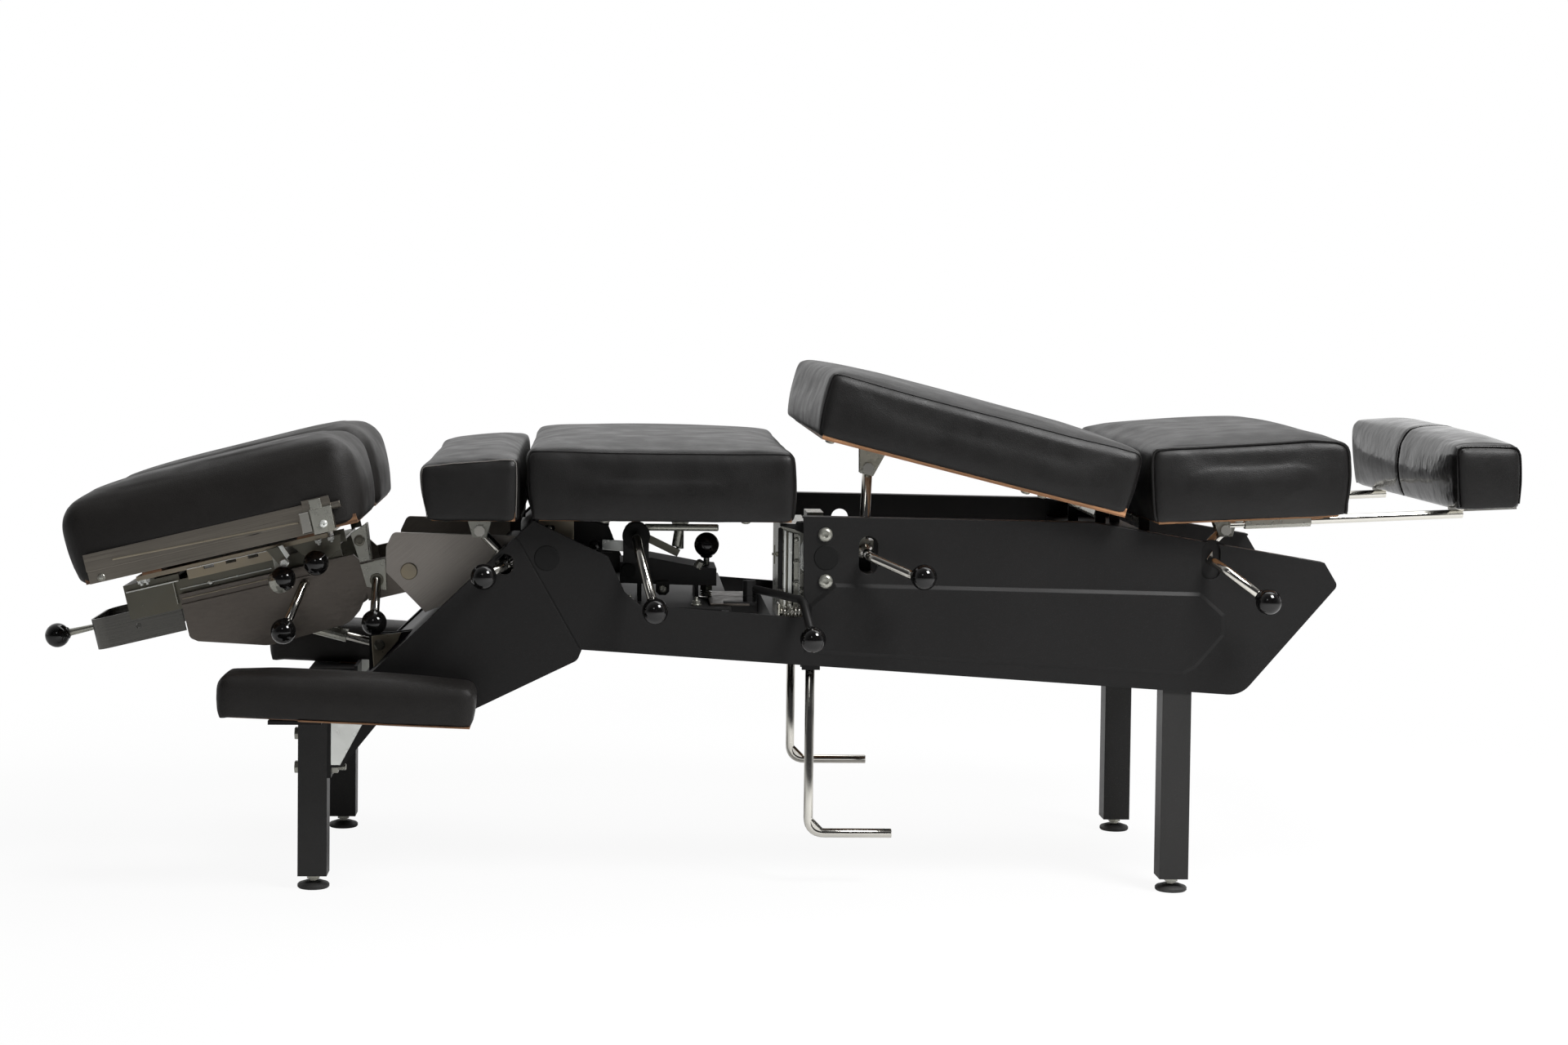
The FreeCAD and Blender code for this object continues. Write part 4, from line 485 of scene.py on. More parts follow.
def slab(outline, y0, y1, edge=0.0004):
    """Plate cut to an outline in XZ, between two places in Y, its edges broken."""
    points = [Vector(p) for p in outline]
    turns = [points[i - 1].cross(points[i]) for i in range(len(points))]
    if sum(turns) < 0:
        points.reverse()
    inner = []
    for i, here in enumerate(points):
        back = (here - points[i - 1]).normalized()
        onward = (points[(i + 1) % len(points)] - here).normalized()
        lean = Vector((-back.y - onward.y, back.x + onward.x))
        inner.append(here + lean * edge / max(0.3, lean.length_squared / 2))
    levels = ((inner, y0), (points, y0 + edge), (points, y1 - edge), (inner, y1))
    return skin([[Vector((p.x, y, p.y)) for p in row] for row, y in levels])


def plate(name, material, ys, *outline, body="frame", edge=0.0004, slot_name=None):
    return fitted(name, [slab(outline, *ys, edge)], material, body, slot_name=slot_name)


def oval(x, z, reach, half, count=24):
    """Outline of a round-ended slot along X about its middle."""
    points = []
    for i in range(count):
        a = 2 * math.pi * (i + 0.5) / count
        u = math.copysign(reach - half, math.cos(a)) + half * math.cos(a)
        points.append((x + u, z + half * math.sin(a)))
    return points


def coil(bottom, top, radius, wire, turns, steps=16):
    """Compression spring between two points."""
    bottom, top = Vector(bottom), Vector(top)
    axis, side, up = frame_for(top - bottom)
    length = (top - bottom).length - 2 * wire
    points = []
    for i in range(turns * steps + 1):
        a = 2 * math.pi * i / steps
        across = (side * math.cos(a) + up * math.sin(a)) * radius
        points.append(bottom + axis * (wire + length * i / (turns * steps)) + across)
    return tube(points, wire, 8)


# Cushions
def stations(length, rounding, step):
    """Places along one side, closer together where the corners are rounded."""
    near = [rounding * s for s in (0, 0.15, 0.35, 0.6, 0.85)]
    count = max(2, int(round((length - 2 * rounding) / step)))
    middle = [rounding + (length - 2 * rounding) * i / count for i in range(count + 1)]
    return near + middle + [length - v for v in reversed(near)]


def between(pairs, share):
    """Value at a share of the length, from (share, value) pairs."""
    for (a, first), (b, last) in zip(pairs, pairs[1:]):
        if share <= b:
            return first + (last - first) * (share - a) / (b - a)
    return pairs[-1][1]


def padded_block(
    name, low, high, tops, rounding, draw, belly, crown=0.006, step=0.01, plan_round=None, lift=0.0,
    ears=0.0, skew=0.0,
):
    """Closed upholstered block: rounded edges, crowned top, full sides, drawn in at its base."""
    (x0, y0, z0), (x1, y1) = low, high
    height = max(top for _, top in tops)
    side_r, top_r, low_r = rounding
    xs, ys = stations(x1 - x0, side_r, step), stations(y1 - y0, side_r, step)
    zs = stations(height, max(top_r, low_r), step)
    index, verts, faces = {}, [], []

    def key(i, j, k):
        if (i, j, k) not in index:
            index[(i, j, k)] = len(verts)
            verts.append(place(xs[i], ys[j], zs[k]))
        return index[(i, j, k)]

    def place(x, y, z):
        lx, ly = x1 - x0, y1 - y0
        rz = top_r if z > height / 2 else low_r
        ry = plan_round if plan_round and x > lx / 2 else side_r
        q = (min(max(x, ry), lx - ry), min(max(y, ry), ly - ry), min(max(z, low_r), height - top_r))
        d = Vector(((x - q[0]) / ry, (y - q[1]) / ry, (z - q[2]) / rz))
        if d.length > 1e-6:
            d.normalize()
        px, py, pz = q[0] + d.x * ry, q[1] + d.y * ry, q[2] + d.z * rz
        u, v, w = px / lx, py / ly, pz / height
        rise = 16 * u * (1 - u) * v * (1 - v)
        top = between(tops, u) + lift * v
        pz = pz * top / height + crown * w * w * min(1, rise * 1.6)
        if ears:
            ex, ey = min(px, lx - px), min(py, ly - py)
            pz -= ears * (1 - w) ** 2 * math.exp(-((ex / 0.012) ** 2 + (ey / 0.014) ** 2))
        full = belly * math.sin(math.pi * min(1, w * 1.08)) ** 0.8 if w < 0.92 else 0
        under = (1 - w) ** 2.2
        if abs(d.y) > 0.3:
            out = full * (1 - abs(2 * u - 1) ** 4) - draw[2] * under
            py += (out if v > 0.5 else -out) * min(1, abs(d.y))
        if abs(d.x) > 0.3:
            out = full * (1 - abs(2 * v - 1) ** 4) - (draw[1] if u > 0.5 else draw[0]) * under
            px += (out if u > 0.5 else -out) * min(1, abs(d.x))
        px -= skew * v * v * (1 - u) ** 2
        return Vector((x0 + px, y0 + py, z0 + pz))

    def quad(i, j, k, u, v):
        """Face from one corner and the steps along two of its edges."""
        steps = ((0, 0), (1, 0), (1, 1), (0, 1))
        faces.append([key(*(c + a * m + b * n for c, m, n in zip((i, j, k), u, v))) for a, b in steps])

    nx, ny, nz = len(xs) - 1, len(ys) - 1, len(zs) - 1
    for i in range(nx):
        for j in range(ny):
            quad(i, j, 0, Y, X)
            quad(i, j, nz, X, Y)
        for k in range(nz):
            quad(i, 0, k, X, Z)
            quad(i, ny, k, Z, X)
    for j in range(ny):
        for k in range(nz):
            quad(0, j, k, Z, Y)
            quad(nx, j, k, Y, Z)
    return mesh_of(name, verts, faces)


VOXEL, PRESSURE, LAST_FRAME, SMOOTHINGS = 0.0055, 4.0, 20, 40


def evaluated(piece):
    return bpy.data.meshes.new_from_object(piece.evaluated_get(bpy.context.evaluated_depsgraph_get()))


def inflated(mesh, cap):
    """The mesh after a short cloth simulation with air in it, held at its base.

    The movement is smoothed over the surface and capped.
    """
    scene = bpy.context.scene
    work = bpy.data.objects.new("inflating", mesh.copy())
    scene.collection.objects.link(work)
    remesh = work.modifiers.new("remesh", "REMESH")
    remesh.mode, remesh.voxel_size, remesh.use_smooth_shade = "VOXEL", VOXEL, True
    base = evaluated(work)
    work.modifiers.clear()
    work.data = base
    rest = [v.co.copy() for v in base.vertices]
    floor = min(p.z for p in rest)
    group = work.vertex_groups.new(name="held")
    group.add([i for i, p in enumerate(rest) if p.z < floor + 0.004], 1.0, "ADD")
    cloth = work.modifiers.new("cloth", "CLOTH")
    s = cloth.settings
    s.quality, s.mass, s.air_damping = 4, 0.3, 4.0
    s.tension_stiffness = s.compression_stiffness = 25
    s.shear_stiffness, s.bending_stiffness = 8, 0.6
    s.use_pressure, s.uniform_pressure_force = True, PRESSURE
    s.effector_weights.gravity = 0
    s.vertex_group_mass = "held"
    cloth.collision_settings.use_collision = False
    cloth.point_cache.frame_start, cloth.point_cache.frame_end = 1, LAST_FRAME
    for step in range(1, LAST_FRAME + 1):
        scene.frame_set(step)
    done = evaluated(work)
    scene.frame_set(1)
    count = len(rest)
    places = np.empty(count * 3)
    done.vertices.foreach_get("co", places)
    start = np.array([tuple(p) for p in rest])
    move = places.reshape(count, 3) - start
    ends = np.empty(len(done.edges) * 2, dtype=int)
    done.edges.foreach_get("vertices", ends)
    a, b = ends.reshape(-1, 2).T
    held = np.bincount(ends, minlength=count)[:, None]
    for _ in range(SMOOTHINGS):
        total = np.zeros_like(move)
        np.add.at(total, a, move[b])
        np.add.at(total, b, move[a])
        move = total / held
    length = np.linalg.norm(move, axis=1, keepdims=True)
    move *= np.minimum(1, cap / np.maximum(length, 1e-9))
    done.vertices.foreach_set("co", (start + move).ravel())
    bpy.data.objects.remove(work)
    for face in done.polygons:
        face.use_smooth = True
    return done


def softened(mesh, folds):
    """Small folds near the corners and along the base, where the vinyl is pulled under."""
    low = Vector([min(v.co[i] for v in mesh.vertices) for i in range(3)])
    high = Vector([max(v.co[i] for v in mesh.vertices) for i in range(3)])
    normals = [v.normal.copy() for v in mesh.vertices]
    for v, normal in zip(mesh.vertices, normals):
        ex = min(v.co.x - low.x, high.x - v.co.x)
        ey = min(v.co.y - low.y, high.y - v.co.y)
        up = (v.co.z - low.z) / (high.z - low.z)
        corner = math.exp(-((ex / 0.03) ** 2 + (ey / 0.03) ** 2)) * math.exp(-(up / 0.5) ** 2)
        hem = math.exp(-(up / 0.22) ** 2)
        ripple = noise.noise(Vector((v.co.x * 55, v.co.y * 55, v.co.z * 12)))
        slow = noise.noise(Vector((v.co.x * 9, v.co.y * 9, v.co.z * 9 + 3)))
        v.co += normal * (folds * (ripple * (0.5 * hem + 1.6 * corner) + slow * 0.8))
    return mesh


def seam_route(low, high, tops, y, count=140):
    """Places round the end and top edges of a block at one y, from base to base."""
    (x0, _, z0), x1 = low, high[0]
    points = [(x0, z0 + tops[0][1] * i / 20) for i in range(20)]
    points += [(x0 + (x1 - x0) * i / count, z0 + between(tops, i / count)) for i in range(count)]
    points += [(x1, z0 + tops[-1][1] * (1 - i / 20)) for i in range(21)]
    return [Vector((x, y, z)) for x, z in points]


def sewn(mesh, routes, depth, thread, proud, width=0.0045):
    """Seams let into the mesh, and the thread or welt that lies along each."""
    faces = [p.vertices[:] for p in mesh.polygons]
    tree = BVHTree.FromPolygons([v.co for v in mesh.vertices], faces)
    lines, placed = [], []
    for route in routes:
        line = []
        for p in route:
            near, normal, _, _ = tree.find_nearest(p)
            line.append((near, normal))
        for _ in range(3):
            for i in range(1, len(line) - 1):
                mid = (line[i - 1][0] + line[i][0] * 2 + line[i + 1][0]) / 4
                near, normal, _, _ = tree.find_nearest(mid)
                line[i] = (near, normal)
        lines.append(line)
        placed += [p for p, _ in line]
    kd = KDTree(len(placed))
    for i, p in enumerate(placed):
        kd.insert(p, i)
    kd.balance()
    normals = [v.normal.copy() for v in mesh.vertices]
    for v, normal in zip(mesh.vertices, normals):
        _, _, away = kd.find(v.co)
        if away < width * 2.5:
            v.co -= normal * depth * math.exp(-(away / width) ** 2)
    parts = []
    for line in lines:
        spaced = [line[0]]
        for item in line[1:]:
            if (item[0] - spaced[-1][0]).length > 0.004:
                spaced.append(item)
        parts.append(tube([p + n * (proud - depth * 0.75) for p, n in spaced], thread, 6))
    return mesh, parts


def cushion_on(
    name, node, body, place, low, high, tops, rounding, seams=(), material="vinyl",
    seam_material=None, cap=0.004, folds=0.0008, thread=0.0007, depth=0.0014, proud=0.0004,
    end_material=None, **shape,
):
    """One finished cushion: drawn level, simulated, folded, sewn and put in place.

    A seam runs round the block at each y that is named.
    """
    mesh = softened(inflated(padded_block(name, low, high, tops, rounding, **shape), cap), folds)
    parts = []
    if seams:
        routes = [seam_route(low, high, tops, y) for y in seams]
        mesh, parts = sewn(mesh, routes, depth, thread, proud)
    cushion = made(name, mesh, material, body, place)
    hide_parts(node)
    sub = cushion.modifiers.new("smooth", "SUBSURF")
    sub.levels = sub.render_levels = 1
    if parts:
        finish = seam_material or material
        fitted(name + "_seam", parts, finish, body, place, SLOTS[material], sharp=None)
    if end_material:
        cushion.data.materials.append(MAT[end_material])
        reach = max(abs(v.co.y) for v in cushion.data.vertices) - 0.007
        for face in cushion.data.polygons:
            if abs(face.center.y) > reach and abs(face.normal.y) > 0.55:
                face.material_index = 1


cushion_on(
    "chest_upholstery", "chest_cushion", "chest_section", CHEST,
    (-0.1205, -0.2565, 0.0068), (0.0085, 0.2565), [(0, 0.073), (1, 0.0845)], (0.01, 0.009, 0.0016),
    (-0.2525, 0.2525), seam_material="thread", cap=0.003,
    belly=0.002, draw=(0.015, 0.001, 0.002), lift=0.006,
)
cushion_on(
    "thoracic_upholstery", "thoracic_cushion", "thoracic_section", THORACIC,
    (-0.051, -0.256, 0.0198), (0.304, 0.256), [(0, 0.0945), (1, 0.0925)], (0.012, 0.014, 0.0016),
    (-0.252, 0.252), crown=0.007, belly=0.003, draw=(0.014, 0.003, 0.0015), lift=0.004,
)
cushion_on(
    "lumbar_upholstery", "lumbar_cushion", "lumbar_section", LUMBAR,
    (-0.418, -0.2575, 0.0112), (0.012, 0.2575), [(0, 0.088), (1, 0.085)], (0.012, 0.013, 0.0016),
    (-0.2535, 0.2535), belly=0.003, draw=(0.008, 0.006, 0.002), skew=0.009,
)
cushion_on(
    "leg_upholstery", "leg_cushion", "leg_section", LEG,
    (-0.0175, -0.2565, 0.0098), (0.248, 0.2565),
    [(0, 0.0975), (0.12, 0.1), (0.8, 0.102), (0.93, 0.099), (1, 0.093)], (0.009, 0.01, 0.0016),
    (-0.253, 0.253), thread=0.0022, depth=0.0016, proud=0.0014,
    crown=0.007, belly=0.003, draw=(0.005, 0.016, 0.002), lift=0.003, skew=0.01,
)
cushion_on(
    "foot_upholstery", "foot_cushion", "foot_section", LEG,
    (0.386, -0.2495, 0.0092), (0.476, 0.2495), [(0, 0.087), (1, 0.083)], (0.012, 0.015, 0.002),
    (-0.246, 0.0, 0.246), "vinyl_gloss", cap=0.005, folds=0.0012, thread=0.0012, depth=0.002,
    proud=0.0008, end_material="vinyl",
    crown=0.007, belly=0.003, draw=(0.004, 0.006, 0.002), lift=0.01, skew=0.004,
)
for side, label in SIDES:
    near_y, far_y = sorted((side * 0.25, side * 0.022))
    cushion_on(
        "face_upholstery_" + label, "face_cushion_" + label, "face_" + label, HEAD,
        (-0.417, near_y, 0.0862), (-0.027, far_y), [(0, 0.108), (1, 0.115)], (0.028, 0.034, 0.003),
        material="vinyl_soft", cap=0.005, folds=0.0011,
        belly=0.004, draw=(0.01, 0.006, 0.003), plan_round=0.03,
    )

# Armrests
for side, label in SIDES:
    near_y, far_y = sorted((side * 0.2297, side * 0.3188))
    cushion_on(
        "armrest_pad_" + label, "armrests", "frame", ARM,
        (-0.005, near_y + 0.001, 0.001), (0.3225, far_y - 0.002),
        [(0, 0.0535), (0.2, 0.056), (1, 0.0515)], (0.012, 0.014, 0.002),
        material="vinyl_soft", cap=0.003, folds=0.0012,
        crown=0.003, belly=0.002, draw=(0.003, 0.003, 0.003), step=0.008, ears=0.0045,
    )
    edges = [
        slab(rect(0.006, 0.318, 0.0006, 0.0055), near_y + 0.011, far_y - 0.012, 0.0006),
        slab(rect(0.1, 0.3185, 0, 0.0022), near_y + 0.004, far_y - 0.005, 0.0006),
    ]
    fitted("armrest_board_" + label, edges, "ply", place=ARM)


# Levers, knobs and rods
def rod(name, points, radius, bend, body, material="chrome", slot_name=None, sides=28):
    bar = tube(bent(points, bend), radius, sides, chamfer=0.001)
    return fitted(name, [bar], material, body, slot_name=slot_name, sharp=50)


def knob(name, centre, axis, body):
    """Ball knob with a short collar where the rod enters."""
    collar = lathe([(-0.0175, 0.0062), (-0.016, 0.008), (-0.0135, 0.0085)], centre, axis, 28)
    return fitted(name, [ball(centre, KNOB_R, axis), collar], "knob", body, sharp=60)


def hand_lever(name, stem, pivot, run, *points, bend=0.016, radius=0.0061, material="chrome"):
    """Bar along Y on a pivot in XZ, then through the points to a ball knob on the last one."""
    points = [Vector((pivot[0], y, pivot[1])) for y in run] + [Vector(p) for p in points]
    axis = (points[-1] - points[-2]).normalized()
    end = points[-1] - axis * 0.012
    body = stem + "_lever_body"
    bar = rod(name + "_rod", points[:-1] + [end], radius, bend, body, material, sides=24)
    grip = knob(name + "_knob", points[-1], axis, body)
    if stem in REPLACED_LEVERS:
        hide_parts(stem + "_lever")
        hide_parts(stem + "_lever")


REPLACED_LEVERS = ("chest", "lumbar", "leg", "extend", "tilt", "head_cock")
hand_lever(
    "chest_lock", "chest", CLAMPS["chest"], (LEVER_START_Y, -0.25), (-0.3665, KNOB_Y, 0.4205),
    bend=0.012,
)
hand_lever(
    "lumbar_lock", "lumbar", CLAMPS["lumbar"], (LEVER_START_Y, -0.247), (0.184, -0.276, 0.426),
    (0.2, KNOB_Y, 0.424), bend=0.014,
)
hand_lever(
    "leg_lock", "leg", CLAMPS["leg"], (LEVER_START_Y, -0.244), (0.598, -0.264, 0.433),
    (0.648, KNOB_Y, 0.395),
)
hand_lever(
    "drop_cocking", "thoracic", (-0.17, 0.464), (-0.175, -0.216), (-0.167, -0.238, 0.45),
    (-0.146, KNOB_Y, 0.378), radius=0.0062,
)
hand_lever(
    "release", "release", (-0.02, 0.398), (-0.19,), (0.048, -0.234, 0.387), (0.058, -0.286, 0.342),
    radius=0.0053, material="powder",
)
for name, stem, pivot, run, end in (
    ("extend_lock", "extend", (-0.141, 0.014), (-0.121, -0.133), (-0.175, HEAD_KNOB_Y, -0.036)),
    ("tilt_lock", "tilt", (-0.045, -0.002), (-0.121, -0.133), (-0.056, HEAD_KNOB_Y, -0.052)),
    ("head_cocking", "head_cock", (-0.118, 0.048), (-0.114, -0.126), (-0.111, -0.19, 0.043)),
):
    hand_lever(name, stem, pivot, run, end, bend=0.008)
hand_lever("spread_lock_grip", "spread", (-0.163, 0.03), (-0.157, -0.163), (-0.158, -0.19, 0.0325))
strap_rod = [(-0.492, 0, 0.012), (-0.442, 0, 0.012), (-0.4385, 0, 0.012)]
strap_nut = nut_and_tail((-0.4398, 0, 0.012), X, 0.0135, 0.006, 0.004, 0.0039)
for piece in (
    knob("strap_knob", (-0.505, 0, 0.012), (-1, 0, 0), "carriage"),
    rod("strap_rod", strap_rod, 0.0051, 0.001, "carriage", "zinc", "chrome_rod", 24),
    fitted("strap_nut", strap_nut, "zinc", "carriage"),
):
    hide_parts("pull_knob")
knob("tension_knob", (-0.074, -0.105, 0.447), Z, "tension_screw_body")

# Pedals
for side, label, low in ((-1, "near", 0.071), (1, "far", 0.106)):
    y = side * PEDAL_Y
    points = [(PEDAL_X, y, 0.303), (PEDAL_X, y, low), (0.173, y, low)]
    rod("pedal_bar_" + label, points, 0.0062, 0.022, "pedal_%s_body" % label)

# Prop rods, from the pin at the cushion through the clamp
for label, pin_x, pin_z, tail in (
    ("chest", -0.378, 0.468, 0.03), ("lumbar", 0.1385, 0.556, 0.04), ("leg", 0.62, 0.477, 0.03),
):
    clamp_x, clamp_z = CLAMPS[label]
    pin, clamp = Vector((pin_x, PROP_Y, pin_z)), Vector((clamp_x, PROP_Y, clamp_z))
    along = (clamp - pin).normalized()
    points = [pin + along * 0.006, clamp, clamp + along * tail]
    rod(label + "_prop_shaft", points, 0.0067, 0.001, label + "_prop_rod_body")

# Screws, bolts, plugs and feet
bolts, plugs, feet, stems, pins = [], [], [], [], []
for side, _ in SIDES:
    y, out = side * LEG_Y, (0, side, 0)
    for z in (0.1595, 0.204):
        bolts += hex_bolt((-0.61005, y, z), (-1, 0, 0), 0.015, 0.0055, 0.0095)
        bolts += nut_and_tail((-0.56695, y, z), X, 0.015, 0.0075, 0.01, 0.0045, 0.0095)
    for x, z in ((0.077, 0.4725), (0.078, 0.411)):
        bolts += button_screw((x, side * FRAME_HALF, z), out)
    plug = [(0, 0.0165), (0.0004, 0.0165), (0.001, 0.0158), (0.0011, 0.0003)]
    for x, z in ((-0.287, 0.439), (0.079, 0.4425)):
        plugs.append(lathe(plug, (x, side * FRAME_HALF, z), out, 48))
    pad = [
        (0, 0.0195), (0.0015, 0.021), (0.0045, 0.021), (0.0062, 0.0195), (0.0085, 0.0125),
        (0.009, 0.0115),
    ]
    for x in (-0.591, 0.545):
        feet.append(lathe(pad, (x, y, 0), Z, 44))
        stems.append(lathe([(0.009, 0.006), (0.018, 0.006)], (x, y, 0), Z, 24))
        stems.append(lathe([(0.0125, 0.0092), (0.0175, 0.0092)], (x, y, 0), Z, 6))
    head = [(0, 0.0112), (0.0026, 0.0112), (0.0033, 0.0104), (0.0034, 0.0002)]
    pins.append(lathe(head, (-0.473, side * 0.134, 0.411), out, 44))
fitted("frame_fasteners", bolts, "zinc", nodes=["frame_bolts"])
fitted("hole_plugs", plugs, "matte", slot_name="knob_black", nodes=["panel_plugs"])
fitted("foot_pads", feet, "rubber", nodes=["levelling_feet"])
fitted("foot_stems", stems, "zinc", nodes=["levelling_feet"])
for side, label in SIDES:
    screws = []
    for u in (-0.376, -0.081):
        screws += pan_screw((u, side * 0.2528, 0.092), (0, side, 0), 0.0052, 0.0028)
    fitted("rail_screws_" + label, screws, "zinc", "face_" + label)
fitted("tilt_pin_heads", pins, "zinc_warm")

# Springs of the pelvic drop unit
coils = [coil((0.07, y, 0.353), (0.07, y, 0.4), 0.0075, 0.0011, 7) for y in (-0.11, 0.11)]
fitted("drop_springs", coils)

# Small parts of the chest and thoracic mechanism
plate(
    "slot_bracket", "zinc_warm", (-0.153, -0.15), (-0.3005, 0.4815), (-0.3005, 0.46),
    (-0.29, 0.44), (-0.256, 0.44), (-0.253, 0.459), (-0.253, 0.4815),
)
slot = oval(-0.2855, 0.472, 0.0075, 0.0036)
plate("slot_bracket_slot", "matte", (-0.1534, -0.1526), *slot, edge=0.0002)
screw = pan_screw((-0.2855, -0.1534, 0.472), FRONT, 0.0032, 0.0016)
fitted("slot_bracket_screw", screw)
gusset = [(-0.256, 0.4845), (-0.207, 0.4745), (-0.201, 0.46), (-0.201, 0.438), (-0.256, 0.438)]
flange = [(-0.256, 0.4836), (-0.256, 0.4856), (-0.206, 0.4754), (-0.2066, 0.4734)]
fitted("cam_gusset", [slab(gusset, -0.132, -0.129), slab(flange, -0.132, -0.1)], "powder")
bumper_stem = tube([(-0.243, -0.12, 0.4474), (-0.232, -0.12, 0.4474)], 0.006)
fitted("drop_bumper", [ball((-0.2254, -0.12, 0.4474), 0.0143), bumper_stem], "knob")
plate(
    "hub_stay", "zinc_pale", (-0.1375, -0.1332),
    (-0.215, 0.456), (-0.215, 0.4425), (-0.183, 0.4395), (-0.183, 0.454),
)
stop_rod = tube([(-0.159, PROP_Y, 0.474), (-0.06, PROP_Y, 0.474)], 0.0047, 24, 0.0014)
fitted("stop_rod", [stop_rod])
collar = [(0, 0.0185), (0.004, 0.0185), (0.005, 0.0175), (0.005, 0.009)]
fitted("hub_collar", [lathe(collar, (-0.17, -0.17, 0.464), FRONT, 36)], "matte")
bolt = hex_bolt((-0.0865, -0.1455, 0.4212), (0.5, -0.3, 0.82), 0.0105, 0.0085, 0.0068)
fitted("housing_bolt", bolt)
boss = [(0, 0.0095), (0.003, 0.0095), (0.0038, 0.0087), (0.0039, 0.0002)]
fitted("housing_boss", [lathe(boss, (-0.1802, PROP_Y, 0.4165), FRONT, 32)], "matte")
plate(
    "stop_lug", "powder", (-0.1535, -0.15), (-0.143, 0.402), (-0.125, 0.402), (-0.125, 0.388),
    (-0.1295, 0.3835), (-0.1385, 0.3835), (-0.143, 0.388),
)
screw = button_screw((-0.134, -0.1535, 0.3915), FRONT, 0.0058, 0.003, 0.002)
fitted("stop_lug_screw", screw)
bolts = nut_and_tail((-0.178, -0.185, 0.375), Z, 0.011, 0.006, 0.006, 0.003, 0.0075)
bolts += nut_and_tail((-0.09, -0.19, 0.375), Z, 0.01, 0.005, 0.005, 0.0028, 0.007)
fitted("beam_bolts", bolts)
seat = [(0, 0.0105), (0.0014, 0.0105), (0.0018, 0.01), (0.0018, 0.0045)]
coils = [coil((-0.074, -0.105, 0.3757), (-0.074, -0.105, 0.3852), 0.007, 0.0011, 3)]
fitted("screw_spring", coils + [lathe(seat, (-0.074, -0.105, 0.375), Z, 30)], "spring")
plate("beam_plate", "plate", (-0.2, -0.05), *rect(-0.072, -0.02, 0.3752, 0.378))
pin = [
    (0, 0.0112), (0.0012, 0.0112), (0.0018, 0.0104), (0.0018, 0.006), (0.001, 0.0054),
    (0.001, 0.0002),
]
post_foot = tube([(-0.1102, -0.104, 0.474), (-0.115, -0.104, 0.444)], 0.0064, 24, 0.001)
pin = lathe(pin, (-0.11, -0.107, 0.479), FRONT, 30)
fitted("post_pin", [pin, post_foot], "zinc", "thoracic_section")

# Screw heads under the boards
for name, body, place, z, spots in (
    (
        "thoracic_underside", "thoracic_section", THORACIC, 0.02,
        ((0.055, -0.236), (0.238, -0.236), (0.055, 0.236), (0.238, 0.236)),
    ),
    (
        "lumbar_underside", "lumbar_section", LUMBAR, 0.0079,
        (
            (-0.393, -0.236), (-0.393, 0.08), (-0.128, -0.236), (-0.1055, -0.236),
            (-0.058, -0.236), (-0.034, -0.15), (-0.014, -0.15),
        ),
    ),
    (
        "leg_underside", "leg_section", LEG, 0.0079,
        ((0.004, -0.15), (0.035, -0.15), (0.1, -0.236), (0.1, 0.236)),
    ),
):
    heads = []
    for x, y in spots:
        heads += pan_screw((x, y, z), DOWN, 0.0062, 0.0034)
    fitted(name, heads, "zinc", body, place)

# Pelvic drop unit: layered zinc strips, top cover, adjuster and return spring
# The pale strips carry painted light: their light colour stands in for the light falling on the layered
# strips
for label, finish, x0, x1, z0, z1, y in (
    ("a", "zinc_pale", 0.0243, 0.0272, 0.36, 0.4765, -0.2048),
    ("b", "zinc_dark", 0.0272, 0.03, 0.362, 0.475, -0.203),
    ("c", "zinc_pale", 0.03, 0.0352, 0.36, 0.474, -0.2056),
    ("d", "matte", 0.0352, 0.0376, 0.364, 0.473, -0.2024),
    ("e", "zinc", 0.0376, 0.0442, 0.36, 0.472, -0.2036),
    ("f", "zinc_pale", 0.0442, 0.0456, 0.362, 0.47, -0.206),
):
    outline = [(x0, z1), (x1, z1 - 0.0012), (x1, z0), (x0, z0)]
    plate("drop_strip_" + label, finish, (y, STRIP_BACK_Y), *outline, edge=0.0003)
plate(
    "drop_strip_g", "zinc_pale", (-0.2075, STRIP_BACK_Y), (0.0462, 0.456), (0.05, 0.464),
    (0.0545, 0.464), (0.0545, 0.42), (0.0462, 0.426),
)
plate(
    "drop_strip_dark", "matte", (-0.2025, -0.194), (0.0172, 0.478), (0.02, 0.479),
    (0.0232, 0.477), (0.0232, 0.398), (0.0172, 0.398),
)
nuts = pan_screw((0.041, -0.2036, 0.464), FRONT, 0.003, 0.0018)
nuts += pan_screw((0.0326, -0.2056, 0.382), FRONT, 0.0034, 0.0018)
nuts += nut_and_tail((0.041, -0.2036, 0.434), FRONT, 0.007, 0.004, 0.003, 0.002, 0.0044)
for spot in ((0.041, -0.2036, 0.406), (0.048, STRIP_BACK_Y, 0.396)):
    nuts += nut_and_tail(spot, FRONT, 0.0075, 0.0045, 0.0036, 0.0022, 0.0048)
fitted("drop_strip_nuts", nuts)
plate(
    "drop_cover", "matte", (-0.214, -0.194), (0.019, 0.4822), (0.0215, 0.4838), (0.04, 0.4838),
    (0.0415, 0.4872), (0.054, 0.488), (0.054, 0.472), (0.047, 0.4735), (0.037, 0.478),
    (0.028, 0.48),
)
adjuster = [
    tube([(0.009, -0.1985, 0.444), (0.0175, -0.1985, 0.444)], 0.0016, 12),
    tube([(0.0125, -0.1985, 0.431), (0.0125, -0.1985, 0.456)], 0.0009, 10),
    lathe([(0, 0.0036), (0.003, 0.0036), (0.0034, 0.003)], (0.014, -0.1985, 0.444), X, 6),
]
fitted("drop_adjuster", adjuster, "zinc_dark")
